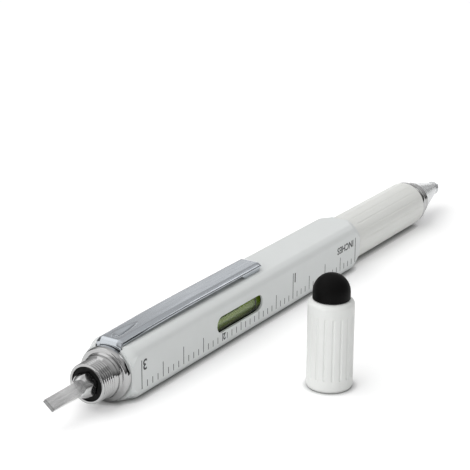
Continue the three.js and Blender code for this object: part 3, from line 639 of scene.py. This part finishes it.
def makeLevel():
    look = vialLook
    low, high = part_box("vial_tube")
    centre = Vector((0, -look["forward"], axisHeight + look["rise"]))
    tube = rod(low.x, high.x, look["tube"], centre)
    cutWith(tube, rod(low.x, high.x, look["bore"], centre, overrun))
    smoothFaces(tube, weighted=False)
    finishPiece(tube, "vial_body", "vialAcrylic", "pen_body", "vial_acrylic", "vial_tube")

    start = look["mark"]
    mark = rod(start, start + look["markWidth"], look["tube"] + look["markOver"], centre)
    cutWith(mark, rod(start, start, look["tube"] + look["markUnder"], centre, overrun))
    smoothFaces(mark, weighted=False)
    finishPiece(mark, "vial_mark", "ruleInk", "pen_body", "black_plastic")

    low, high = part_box("vial_fluid")
    fluid = rod(low.x, high.x, look["fluid"], centre)
    cutWith(fluid, bubbleBlock(look, 0.0))
    smoothFaces(fluid, weighted=False)
    finishPiece(fluid, "vial_liquid", "levelFluid", "pen_body", "level_fluid", "vial_fluid")

    bubble = rod(low.x, high.x, look["fluid"] - look["bubbleThinner"], centre)
    cutWith(bubble, bubbleBlock(look, look["bubbleGap"]), "INTERSECT")
    smoothFaces(bubble, weighted=False)
    finishPiece(bubble, "vial_bubble", "levelBubble", "pen_body", "vial_acrylic")


makeLevel()
print("spirit level made")


clipLook = {
    "length": 45.7 * mm, "width": 5.2 * mm, "tipWidth": 5.1 * mm, "sheet": 0.42 * mm,
    "rise": 1.1 * mm, "swell": 0.46 * mm, "swellShare": 0.55,
    "bend": 1.08 * mm, "bendSteps": 10, "tang": 0.72 * mm, "tangGap": 0.02 * mm,
    "tangFold": 0.3, "foldSteps": 4,  # share of the fold on the tang, and its growth in the bend
    # half of the cross-section: place across as a share of the half width, and drop below the top
    "section": [
        *[(0.07 * step, 0.0) for step in range(7)],
        (0.5, 0.0), (0.58, 0.0), (0.645, 0.0), (0.675, 0.012 * mm),
        (0.71, 0.045 * mm), (0.77, 0.13 * mm), (0.89, 0.335 * mm), (0.935, 0.41 * mm),
        (0.965, 0.475 * mm), (0.987, 0.56 * mm), (1.0, 0.68 * mm),
    ],
    "skirtRear": 0.93 * mm, "skirtTip": 0.72 * mm,
    "tipDrop": 0.12 * mm, "tipEase": 0.7 * mm, "tipSteps": 4,
    "fineReach": 9 * mm, "fineStep": 0.22 * mm, "coarseStep": 1.2 * mm,
    "dentStart": 1.3 * mm, "dentLength": 7.4 * mm, "dentHalfWidth": 1.25 * mm,
    "dentDepth": 0.4 * mm, "dentPoint": 0.18, "dentTaper": 0.8, "dentRear": 0.35,
    "dentOpening": 3, "dentPeak": 0.6, "dentEase": 1.2,
    "footLength": 7.1 * mm, "footTop": 0.62 * mm, "footHalf": 2.5 * mm, "footGap": 0.05 * mm,
    "footRearSlope": 1.3 * mm, "footFrontSlope": 0.7 * mm, "footInset": 0.04 * mm,
    "footEdge": 0.08 * mm, "edge": 0.06 * mm, "edgeAngle": 50, "smoothAngle": 40,
}


# Height of the clip's top over the barrel's axis, at a distance from its rear face.
def clipTop(along):
    look = clipLook
    left = 1 - min(along / look["length"] / look["swellShare"], 1)
    return barrelLook["across"] / 2 + look["rise"] + look["swell"] * (1 - left * left)


# The pressed dent: round and wide towards the rear, drawn out to a point in front.
def dentDrop(along, across):
    look = clipLook
    share, point = (along - look["dentStart"]) / look["dentLength"], look["dentPoint"]
    if not 0 < share < 1:
        return 0.0
    taper = point + (1 - point) * (1 - share) ** look["dentTaper"]
    opening = min(1.0, look["dentRear"] + look["dentOpening"] * share)
    sideways = min(abs(across) / (look["dentHalfWidth"] * taper * opening), 1.0)
    lengthways = math.sin(math.pi * share ** look["dentPeak"]) ** look["dentEase"]
    return look["dentDepth"] * lengthways * math.cos(quarterTurn * sideways) ** 2


# Stations along the strip: place, height, lean of the strip and how much of the fold it shows.
def clipStations(rear):
    look = clipLook
    bend, top, tangFold = look["bend"], clipTop(look["bend"]), look["tangFold"]
    stations = [
        (rear, barrelLook["across"] / 2 - look["tang"], quarterTurn, tangFold),
        (rear, top - bend - look["tangGap"], quarterTurn, tangFold),
    ]
    for step in range(1, look["bendSteps"] + 1):
        lean = quarterTurn * (1 - step / look["bendSteps"])
        fold = min(1.0, tangFold + (1 - tangFold) * step / look["foldSteps"])
        place = rear + bend * (1 - math.sin(lean))
        stations.append((place, top - bend * (1 - math.cos(lean)), lean, fold))
    along, flatEnd = bend, look["length"] - look["tipEase"]
    while along < flatEnd:
        fine = along < look["fineReach"]
        along = min(along + (look["fineStep"] if fine else look["coarseStep"]), flatEnd)
        stations.append((rear + along, clipTop(along), 0.0, 1.0))
    for step in range(1, look["tipSteps"] + 1):
        share = step / look["tipSteps"]
        along = look["length"] - look["tipEase"] * (1 - share)
        height = clipTop(along) - look["tipDrop"] * share ** 2
        stations.append((rear + along, height, 0.0, 1.0))
    return stations


def makeStrip(rear):
    look = clipLook
    stations = clipStations(rear)
    half = look["section"]
    section = [(-share, drop) for share, drop in reversed(half[1:])] + half
    section = [(-1.0, None)] + section + [(1.0, None)]  # the skirts' drop changes on the way
    rows, columns = len(stations), len(section)
    deselect()
    bpy.ops.mesh.primitive_grid_add(
        x_subdivisions=rows - 1, y_subdivisions=columns - 1, size=1, location=(0, 0, 0),
    )
    strip = bpy.context.object
    for vertex in strip.data.vertices:
        place, height, lean, fold = stations[round((vertex.co.x + 0.5) * (rows - 1))]
        share, drop = section[round((vertex.co.y + 0.5) * (columns - 1))]
        ahead = (place - rear) / look["length"]
        if drop is None:
            drop = look["skirtRear"] + (look["skirtTip"] - look["skirtRear"]) * ahead
        across = share * (look["width"] + (look["tipWidth"] - look["width"]) * ahead) / 2
        sunk = drop * fold + dentDrop(place - rear, across)
        top = axisHeight + height
        vertex.co = (place + sunk * math.sin(lean), across, top - sunk * math.cos(lean))
    activate(strip)
    bpy.ops.object.mode_set(mode="EDIT")
    bpy.ops.mesh.select_all(action="SELECT")
    bpy.ops.mesh.normals_make_consistent(inside=False)
    bpy.ops.object.mode_set(mode="OBJECT")
    if max(strip.data.polygons, key=lambda face: face.center.z).normal.z < 0:
        strip.data.flip_normals()
    applyModifier(
        strip, "SOLIDIFY", thickness=look["sheet"], offset=-1, use_even_offset=False,
    )
    roundEdges(strip, look["edge"], look["edgeAngle"])
    return strip


# The pressed foot under the tip, with sloping ends.
def makeFoot(tip):
    look = clipLook
    rear, low = tip - look["footLength"], 2 * axisHeight + look["footGap"]
    high = axisHeight + clipTop(look["length"]) - look["footTop"]
    foot = blockBetween(
        (rear, -look["footHalf"], low), (tip - look["footInset"], look["footHalf"], high),
    )
    applyPlace(foot)
    for vertex in foot.data.vertices:
        if vertex.co.z < (low + high) / 2:
            atRear = vertex.co.x < (rear + tip) / 2
            vertex.co.x += look["footRearSlope"] if atRear else -look["footFrontSlope"]
    roundEdges(foot, look["footEdge"])
    return foot


def makeClip():
    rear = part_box("clip")[0].x
    clip = joinPieces([makeStrip(rear), makeFoot(rear + clipLook["length"])])
    smoothFaces(clip, clipLook["smoothAngle"])
    finishPiece(clip, "clip_strip", "clipChrome", "pocket_clip", "chrome_trim", "clip")


makeClip()
print("clip made")


threadLook = {"ridgeSides": 10, "steps": 72}
collarLook = {
    "flangeLength": 1.6 * mm, "flangeDiameter": 9.96 * mm, "flangeChamfer": 0.3 * mm,
    "flangeEase": 0.1 * mm, "seamWidth": 0.17 * mm, "seamDepth": 0.5 * mm, "seat": 0.05 * mm,
    "spigotDiameter": 7.3 * mm, "bore": 6.3 * mm, "stemDiameter": 8.1 * mm,
    "rim": 0.25 * mm, "rimEase": 0.06 * mm, "rimSlope": 0.1 * mm,
    "neck": 1.05 * mm, "neckRise": 0.22 * mm, "neckSlope": 0.3 * mm, "neckFoot": 0.25 * mm,
    "rootDepth": 0.24 * mm, "threadStart": 0.15 * mm,
    "pitch": 0.54 * mm, "turns": 5, "tooth": 0.25 * mm,
    "edge": 0.05 * mm, "edgeAngle": 35, "steps": 128,
}


# A helical ridge on a turned piece.
def addThread(piece, look, start, root):
    deselect()
    bpy.ops.mesh.primitive_circle_add(
        vertices=threadLook["ridgeSides"], radius=look["tooth"], fill_type="NGON",
        location=(0, 0, 0),
    )
    ridge = bpy.context.object
    bpy.ops.object.mode_set(mode="EDIT")
    bpy.ops.transform.rotate(value=-quarterTurn, orient_axis="X", center_override=(0, 0, 0))
    bpy.ops.mesh.select_all(action="SELECT")
    bpy.ops.transform.translate(value=(0, 0, -root))
    bpy.ops.object.mode_set(mode="OBJECT")
    applyModifier(
        ridge, "SCREW", axis="X", screw_offset=look["pitch"], iterations=look["turns"],
        steps=threadLook["steps"], render_steps=threadLook["steps"],
        use_merge_vertices=False, use_smooth_shade=False, use_normal_calculate=True,
    )
    ridge.location = (start, 0, axisHeight)
    applyPlace(ridge)
    return joinPieces([piece, ridge])


def makeCollar():
    look = collarLook
    low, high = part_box("rear_collar")
    rim, barrelEnd = low.x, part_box("barrel")[0].x
    face, seam = barrelEnd - look["flangeLength"], barrelEnd - look["seamWidth"]
    seat, stem, bore = barrelEnd - look["seat"], look["stemDiameter"] / 2, look["bore"] / 2
    spigot, flange = look["spigotDiameter"] / 2, look["flangeDiameter"] / 2
    root, neck = spigot - look["rootDepth"], spigot + look["neckRise"]
    chamfer, ease, slope = look["flangeChamfer"], look["flangeEase"], look["neckSlope"]
    neckRear, rimFront = face - look["neck"], rim + look["rim"]
    collar = turnPiece([
        (rim, bore), (rim, spigot - look["rimEase"]), (rim + look["rimEase"], spigot),
        (rimFront, spigot), (rimFront + look["rimSlope"], root), (neckRear - slope, root),
        (neckRear, neck), (face - slope, neck), (face, neck + look["neckFoot"]),
        (face, flange - chamfer), (face + ease, flange - ease), (face + chamfer, flange),
        (seam, flange), (seam, flange - look["seamDepth"]), (seat, flange - look["seamDepth"]),
        (seat, stem), (high.x, stem), (high.x, bore), (rim, bore),
    ], steps=look["steps"])
    roundEdges(collar, look["edge"], look["edgeAngle"])
    collar = addThread(collar, look, rimFront + look["threadStart"], root)
    smoothFaces(collar)
    finishPiece(
        collar, "rear_ferrule", "polishedChrome", "pen_body", "chrome_trim", "rear_collar",
    )


bitLook = {"edge": 0.05 * mm, "edgeAngle": 24}


def makeBit():
    bit = copyNode("screwdriver_bit")
    roundEdges(bit, bitLook["edge"], bitLook["edgeAngle"])
    smoothFaces(bit)
    finishPiece(bit, "bit_blade", "bitSteel", "bit", "bit_steel", "screwdriver_bit")


makeCollar()
makeBit()
print("rear end made")


gripLook = {
    "diameter": 9.8 * mm, "bore": 7 * mm, "endRound": 0.3 * mm, "endEase": 0.09 * mm,
    "plain": 1.6 * mm, "flutes": 18, "fluteRadius": 0.5 * mm, "fluteDepth": 0.075 * mm,
    "flutePhase": 0,
}
capLook = {
    "diameter": 8.25 * mm, "bore": 7.4 * mm, "boreDepth": 15.1 * mm, "height": 16.4 * mm,
    "neckHole": 5.1 * mm, "shoulder": 0.95 * mm, "shoulderSteps": 6,
    "rim": 0.5 * mm, "rimEase": 0.12 * mm, "rimDrop": 0.2 * mm,
    "bandLow": 2.2 * mm, "bandHigh": 2.4 * mm,
    "flutes": 18, "fluteRadius": 0.36 * mm, "fluteDepth": 0.15 * mm, "flutePhase": -4,
    "place": Vector((-14.6 * mm, -29 * mm, 0)),
}
domeLook = {
    "diameter": 6.66 * mm, "height": 4.65 * mm, "wall": 0.9 * mm, "neck": 5 * mm,
    "gap": 0.05 * mm, "rim": 0.12 * mm, "rimEase": 0.04 * mm, "arcSteps": 12, "smoothAngle": 40,
}
fluteLook = {
    "sides": 16, "rings": 12, "middle": 0.02, "turnSteps": 144, "edge": 0.04 * mm, "angle": 25,
}


# One round-ended groove cutter, copied round the axis, with all the copies joined.
def fluteCutters(look, start, end, centre, upright):
    radius = look["fluteRadius"]
    reach = look["diameter"] / 2 + radius - look["fluteDepth"]
    run = Vector((0, 0, 1)) if upright else Vector((1, 0, 0))
    out = Vector((1, 0, 0)) if upright else Vector((0, 0, 1))
    deselect()
    bpy.ops.mesh.primitive_uv_sphere_add(
        segments=fluteLook["sides"], ring_count=fluteLook["rings"], radius=radius,
        location=(0, 0, 0),
    )
    first = bpy.context.object
    if not upright:
        first.rotation_euler = (0, quarterTurn, 0)
    applyPlace(first)
    half = (end - start) / 2 - radius
    for side in (-1, 1):
        bpy.ops.object.mode_set(mode="EDIT")
        bpy.ops.mesh.select_all(action="DESELECT")
        bpy.ops.object.mode_set(mode="OBJECT")
        for vertex in first.data.vertices:
            ahead = vertex.co.dot(run) > fluteLook["middle"] * radius
            vertex.select = ahead == (side > 0)
        bpy.ops.object.mode_set(mode="EDIT")
        bpy.ops.transform.translate(value=run * side * half)
        bpy.ops.object.mode_set(mode="OBJECT")
    first.location = out * reach + run * (start + end) / 2
    applyPlace(first)
    copies = [first]
    for index in range(1, look["flutes"]):
        groove = first.copy()
        groove.data = first.data.copy()
        bpy.context.scene.collection.objects.link(groove)
        groove.matrix_world = Matrix.Rotation(2 * math.pi * index / look["flutes"], 4, run)
        copies.append(groove)
    cutter = joinPieces(copies)
    phase = Matrix.Rotation(math.radians(look["flutePhase"]), 4, run)
    cutter.matrix_world = Matrix.Translation(centre) @ phase
    applyPlace(cutter)
    return cutter


def makeGrip():
    look = gripLook
    low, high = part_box("grip")
    rear, front, plain = low.x, high.x, look["plain"]
    radius, bore = look["diameter"] / 2, look["bore"] / 2
    turn, ease = look["endRound"], look["endEase"]
    grip = turnPiece([
        (rear, bore), (rear, radius - turn), (rear + ease, radius - ease), (rear + turn, radius),
        (front - turn, radius), (front - ease, radius - ease), (front, radius - turn),
        (front, bore), (rear, bore),
    ], steps=fluteLook["turnSteps"])
    cutWith(grip, fluteCutters(look, rear + plain, front - plain, penAxis, False))
    roundEdges(grip, fluteLook["edge"], fluteLook["angle"])
    smoothFaces(grip)
    finishPiece(grip, "grip_sleeve", "warmLacquer", "twist_section", "white_lacquer", "grip")


def arcAngles(steps):
    return [quarterTurn * step / steps for step in range(steps + 1)]


def makeCap():
    look = capLook
    radius, bore, top = look["diameter"] / 2, look["bore"] / 2, look["height"]
    shoulder, neckHole = look["shoulder"], look["neckHole"] / 2
    rounded = [
        (top - shoulder * (1 - math.sin(angle)), radius - shoulder * (1 - math.cos(angle)))
        for angle in arcAngles(look["shoulderSteps"])
    ]
    shell = turnPiece([
        (0, bore), (0, radius - look["rim"]), (look["rimEase"], radius - look["rimDrop"]),
        (look["rim"], radius), *rounded, (top, neckHole), (look["boreDepth"], neckHole),
        (look["boreDepth"], bore), (0, bore),
    ], look["place"], True, fluteLook["turnSteps"])
    bandTop = top - look["bandHigh"]
    cutWith(shell, fluteCutters(look, look["bandLow"], bandTop, look["place"], True))
    roundEdges(shell, fluteLook["edge"], fluteLook["angle"])
    smoothFaces(shell)
    finishPiece(shell, "cap_sleeve", "capLacquer", "cap", "white_lacquer", "cap_shell")


def makeDome():
    look = domeLook
    radius, neck, wall = look["diameter"] / 2, look["neck"] / 2, look["wall"]
    base, crest = capLook["height"] + look["gap"], capLook["height"] + look["height"]
    rim, ease, low = look["rim"], look["rimEase"], capLook["boreDepth"]

    def arc(size, height):
        return [
            (height - size + size * math.sin(angle), size * math.cos(angle))
            for angle in arcAngles(look["arcSteps"])
        ]

    dome = turnPiece([
        (low, neck - wall), (low, neck), (base, neck),
        (base, radius - rim), (base + ease, radius - ease), (base + rim, radius),
        *arc(radius, crest), *reversed(arc(radius - wall, crest - wall)),
        (base + wall, radius - wall), (base + wall, neck - wall), (low, neck - wall),
    ], capLook["place"], True)
    smoothFaces(dome, look["smoothAngle"])
    finishPiece(dome, "stylus_dome", "stylusRubber", "cap", "stylus_rubber", "stylus_tip")


makeGrip()
makeCap()
makeDome()
print("grip and cap made")


noseLook = {
    "flangeLength": 1.4 * mm, "flangeDiameter": 9.6 * mm, "flangeEase": 0.1 * mm,
    "chamfer": 0.45 * mm, "chamferFront": 0.12 * mm, "chamferDrop": 0.15 * mm,
    "spigotDiameter": 7.9 * mm, "stemDiameter": 6.9 * mm, "gap": 0.05 * mm,
    "coneSeat": 5.3 * mm, "seatLength": 7.05 * mm, "hole": 2.9 * mm,
    "pitch": 0.27 * mm, "turns": 5, "tooth": 0.12 * mm,
    "spareTurns": 1.2, "threadSlope": 0.08 * mm, "threadStart": 0.12 * mm, "frontEase": 0.1 * mm,
    "edge": 0.05 * mm, "edgeAngle": 35, "steps": 128,
}
coneLook = {
    "base": 7.4 * mm, "baseEase": 0.08 * mm, "stem": 5.2 * mm, "gap": 0.05 * mm,
    "neck": 2.7 * mm, "neckLength": 0.1 * mm, "bead": 3 * mm, "beadLength": 0.9 * mm,
    "beadHole": 1.95 * mm, "beadLip": 0.2 * mm, "mouth": 3 * mm,
    # the bead's profile: place in front of the neck, and drop below its full radius
    "beadShape": [(0.2 * mm, 0.0), (0.45 * mm, 0.0), (0.7 * mm, 0.12 * mm)],
}


def makeRing():
    look = noseLook
    low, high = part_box("nose_ring")
    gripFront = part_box("grip")[1].x
    rear, flangeRear = low.x, gripFront + look["gap"]
    flangeFront, front = gripFront + look["flangeLength"], high.x
    flange, spigot = look["flangeDiameter"] / 2, look["spigotDiameter"] / 2
    stem, seat, hole = look["stemDiameter"] / 2, look["coneSeat"] / 2, look["hole"] / 2
    seatRear = front - look["seatLength"]
    threadRear = front - look["pitch"] * (look["turns"] + look["spareTurns"])
    root, ease, frontEase = spigot - look["tooth"], look["flangeEase"], look["frontEase"]
    ring = turnPiece([
        (rear, hole), (rear, stem), (flangeRear, stem),
        (flangeRear, flange - ease), (flangeRear + ease, flange),
        (flangeFront - look["chamfer"], flange),
        (flangeFront - look["chamferFront"], flange - look["chamferDrop"]),
        (flangeFront, flange - look["chamfer"]), (flangeFront, spigot),
        (threadRear, spigot), (threadRear + look["threadSlope"], root),
        (front - frontEase, root), (front, root - frontEase), (front, seat),
        (seatRear, seat), (seatRear, hole), (rear, hole),
    ], steps=look["steps"])
    roundEdges(ring, look["edge"], look["edgeAngle"])
    ring = addThread(ring, look, threadRear + look["threadStart"], root)
    smoothFaces(ring)
    finishPiece(
        ring, "nose_ferrule", "polishedChrome", "twist_section", "chrome_trim", "nose_ring",
    )


def makeCone():
    look = coneLook
    low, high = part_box("nose_cone")
    rear, tip, neckFront = low.x, high.x, high.x - look["beadLength"]
    base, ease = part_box("nose_ring")[1].x + look["gap"], look["baseEase"]
    wide, stem, hole = look["base"] / 2, look["stem"] / 2, noseLook["hole"] / 2
    bead, neck, mouth = look["bead"] / 2, look["neck"] / 2, look["beadHole"] / 2
    cone = turnPiece([
        (rear, hole), (rear, stem), (base, stem), (base, wide - ease), (base + ease, wide),
        (neckFront - look["neckLength"], neck), (neckFront, neck),
        *[(neckFront + along, bead - drop) for along, drop in look["beadShape"]],
        (tip, mouth + look["beadLip"]), (tip, mouth), (tip - look["mouth"], hole), (rear, hole),
    ])
    roundEdges(cone, noseLook["edge"], noseLook["edgeAngle"])
    smoothFaces(cone)
    finishPiece(cone, "nose_taper", "satinChrome", "twist_section", "satin_chrome", "nose_cone")


tipLook = {
    "radius": 1.15 * mm, "stemDrop": 0.2 * mm, "stemLength": 2.35 * mm, "taper": 3.4 * mm,
    "seat": 0.4 * mm, "seatDepth": 0.75 * mm, "lipLength": 0.15 * mm, "lipRear": 0.13 * mm,
    "lipFront": 0.08 * mm, "edge": 0.03 * mm, "edgeAngle": 35, "steps": 64,
}


def makeRefillTip():
    look = tipLook
    low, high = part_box("refill_tip")
    rear, lip = low.x + look["stemLength"], high.x
    outer, seat, bottom = look["radius"], look["seat"], high.x - look["seatDepth"]
    stem = outer - look["stemDrop"]
    tip = turnPiece([
        (low.x, 0), (low.x, stem), (rear, stem), (rear, outer), (lip - look["taper"], outer),
        (lip - look["lipLength"], seat + look["lipRear"]), (lip, seat + look["lipFront"]),
        (lip, seat), (bottom, seat), (bottom, 0),
    ], steps=look["steps"])
    roundEdges(tip, look["edge"], look["edgeAngle"])
    smoothFaces(tip)
    finishPiece(tip, "refill_point", "satinChrome", "refill", "satin_chrome", "refill_tip")


makeRing()
makeCone()
makeRefillTip()
print("nose made")


# The nodes that stay as they are, each with its finish.
carried = {
    "bit_socket": "blackPlastic", "vial_cradle": "blackPlastic",
    "vial_plug_rear": "vialAcrylic", "vial_plug_front": "vialAcrylic",
    "cam_guide": "greyPlastic", "nose_bush": "brassMetal", "cam_sleeve": "brassMetal",
    "snap_ring": "bitSteel", "refill_carrier": "blackPlastic", "cross_pin": "bitSteel",
    "refill_tube": "brassMetal", "writing_ball": "bitSteel", "stylus_plug": "greyPlastic",
}
for nodeName, finishName in carried.items():
    for materialSlot in nodes[nodeName].material_slots:
        materialSlot.material = finish[finishName]
print("carried nodes finished")


stageLook = {
    "floor": 0.94, "floorLift": 0.16, "shineLift": 0.3, "floorRoughness": 0.9,
    "floorSize": 6, "floorHeight": -0.02 * mm,
    # painted shadow on the floor next to the pen: how far it reaches, its darkest level and its
    # samples
    "paintedShadowReach": 1.4 * mm, "paintedShadowLevel": 0.2, "paintedShadowSamples": 8,
    "ambient": 0.62,
    # sine of a direction's height above the horizon, and the level that metal and glass see there
    "sky": [(0.0, 0.08), (0.14, 0.14), (0.32, 0.38), (0.6, 0.52), (1.0, 0.95)],
    "lamps": [
        # name, direction it comes from, distance, size, power
        ("keyLamp", (-0.25, 0.42, 1.0), 0.9, 1.0, 3.6),
        ("sideLamp", (-1.0, 0.05, 0.40), 0.9, 0.7, 2.8),
    ],
    "cards": [
        # name, direction, width and height in degrees, level
        ("cardSky", (0.795, 0.50, 0.34), 24, 10, 0.9),
        ("cardGlow", (0.913, 0.407, 0.045), 18, 9, 1.7),
        ("cardRear", (-0.80, 0.51, 0.31), 34, 38, 1.15),
        ("cardDim", (0.80, 0.34, 0.495), 10, 8, 0.8),
        ("cardLeft", (-0.2, 0.5, 0.82), 60, 34, 1.3),
        ("cardAhead", (0.97, 0.135, 0.19), 44, 15, 0.65),
        ("cardRight", (0.80, -0.56, 0.17), 18, 30, 0.0),
        ("cardBright", (0.793, -0.26, 0.57), 12, 9, 1.8),
        ("cardFront", (0.05, -0.62, 0.78), 34, 22, 0.3),
    ],
    "cardDistance": 2.0,
    # a small black card close to the rear collar: middle, size and the place that it faces
    "flag": (-24.5 * mm, -17.5 * mm, 9.5 * mm), "flagSize": (11 * mm, 16 * mm),
    "flagFaces": (-43.5 * mm, -1 * mm, 9 * mm),
}


def makeFloor():
    look = stageLook
    deselect()
    bpy.ops.mesh.primitive_plane_add(size=look["floorSize"], location=(0, 0, look["floorHeight"]))
    floor = bpy.context.object
    floor.name = "floor"
    material, tree, shader = newMaterial("floorPaper")
    # Painted shadow: the floor's colour and its lift grow darker where ambient occlusion finds the
    # pen close by.
    reach, samples = look["paintedShadowReach"], look["paintedShadowSamples"]
    near = addNode(tree, "AmbientOcclusion", {"Distance": reach}, samples=samples)["AO"]
    paintedShadowColour, pale = ((level, level, level, 1) for level in (look["paintedShadowLevel"], look["floor"]))
    ray = addNode(tree, "LightPath")
    shine = addMath(tree, "MULTIPLY", ray["Is Glossy Ray"], look["shineLift"])
    seen = addMath(tree, "MAXIMUM", ray["Is Camera Ray"], shine)
    seen = addMath(tree, "MAXIMUM", seen, ray["Is Transmission Ray"])
    lift = addMath(tree, "MULTIPLY", seen, look["floorLift"])
    feed(tree, shader, {
        "Base Color": addMix(tree, near, paintedShadowColour, pale), "Roughness": look["floorRoughness"],
        "Specular IOR Level": 0.0, "Emission Color": (1, 1, 1, 1),
        "Emission Strength": addMath(tree, "MULTIPLY", lift, near),
    })
    floor.data.materials.append(material)


def makeWorld():
    world = bpy.data.worlds.new("studio")
    bpy.context.scene.world = world
    world.use_nodes = True
    tree = world.node_tree
    ray = addNode(tree, "LightPath")
    height = addSplit(tree, addNode(tree, "TexCoord")["Generated"])["Z"]
    shine = addMath(tree, "MAXIMUM", ray["Is Glossy Ray"], ray["Is Transmission Ray"])
    glossy = addMath(tree, "MULTIPLY", shine, addRamp(tree, height, stageLook["sky"]))
    plain = addMath(tree, "MULTIPLY", ray["Is Diffuse Ray"], stageLook["ambient"])
    level = addMath(tree, "MAXIMUM", glossy, plain)
    level = addMath(tree, "ADD", level, ray["Is Camera Ray"])
    feed(tree, tree.nodes["Background"], {"Color": (1, 1, 1, 1), "Strength": level})


# A card that only metal and gloss see, as in a product studio.
def addCard(name, middle, size, faces, level):
    deselect()
    bpy.ops.mesh.primitive_plane_add(size=1, location=middle)
    card = bpy.context.object
    card.name = name
    card.scale = (*size, 1)
    card.rotation_euler = (Vector(faces) - Vector(middle)).to_track_quat("Z", "Y").to_euler()
    for kind in ("camera", "diffuse", "transmission", "shadow"):
        setattr(card, "visible_" + kind, False)
    material, tree, shader = newMaterial(name)
    feed(tree, shader, {
        "Base Color": (0, 0, 0, 1), "Specular IOR Level": 0.0,
        "Emission Color": (1, 1, 1, 1), "Emission Strength": level,
    })
    card.data.materials.append(material)


def makeCards():
    look = stageLook
    distance = look["cardDistance"]
    for name, direction, width, height, level in look["cards"]:
        middle = penAxis + Vector(direction).normalized() * distance
        size = [2 * distance * math.tan(math.radians(angle) / 2) for angle in (width, height)]
        addCard(name, middle, size, penAxis, level)
    addCard("flag0", look["flag"], look["flagSize"], look["flagFaces"], 0.0)


def makeLamps():
    for name, direction, distance, size, power in stageLook["lamps"]:
        lamp = bpy.data.objects.new(name, bpy.data.lights.new(name, "AREA"))
        bpy.context.scene.collection.objects.link(lamp)
        lamp.data.shape = "DISK"
        lamp.data.size = size
        lamp.data.energy = power
        away = Vector(direction).normalized()
        lamp.location = away * distance
        lamp.rotation_euler = away.to_track_quat("Z", "Y").to_euler()
        lamp.visible_glossy = False


makeFloor()
makeWorld()
makeCards()
makeLamps()
bpy.context.scene.view_settings.view_transform = "Standard"
print("stage set")

bpy.context.view_layer.update()
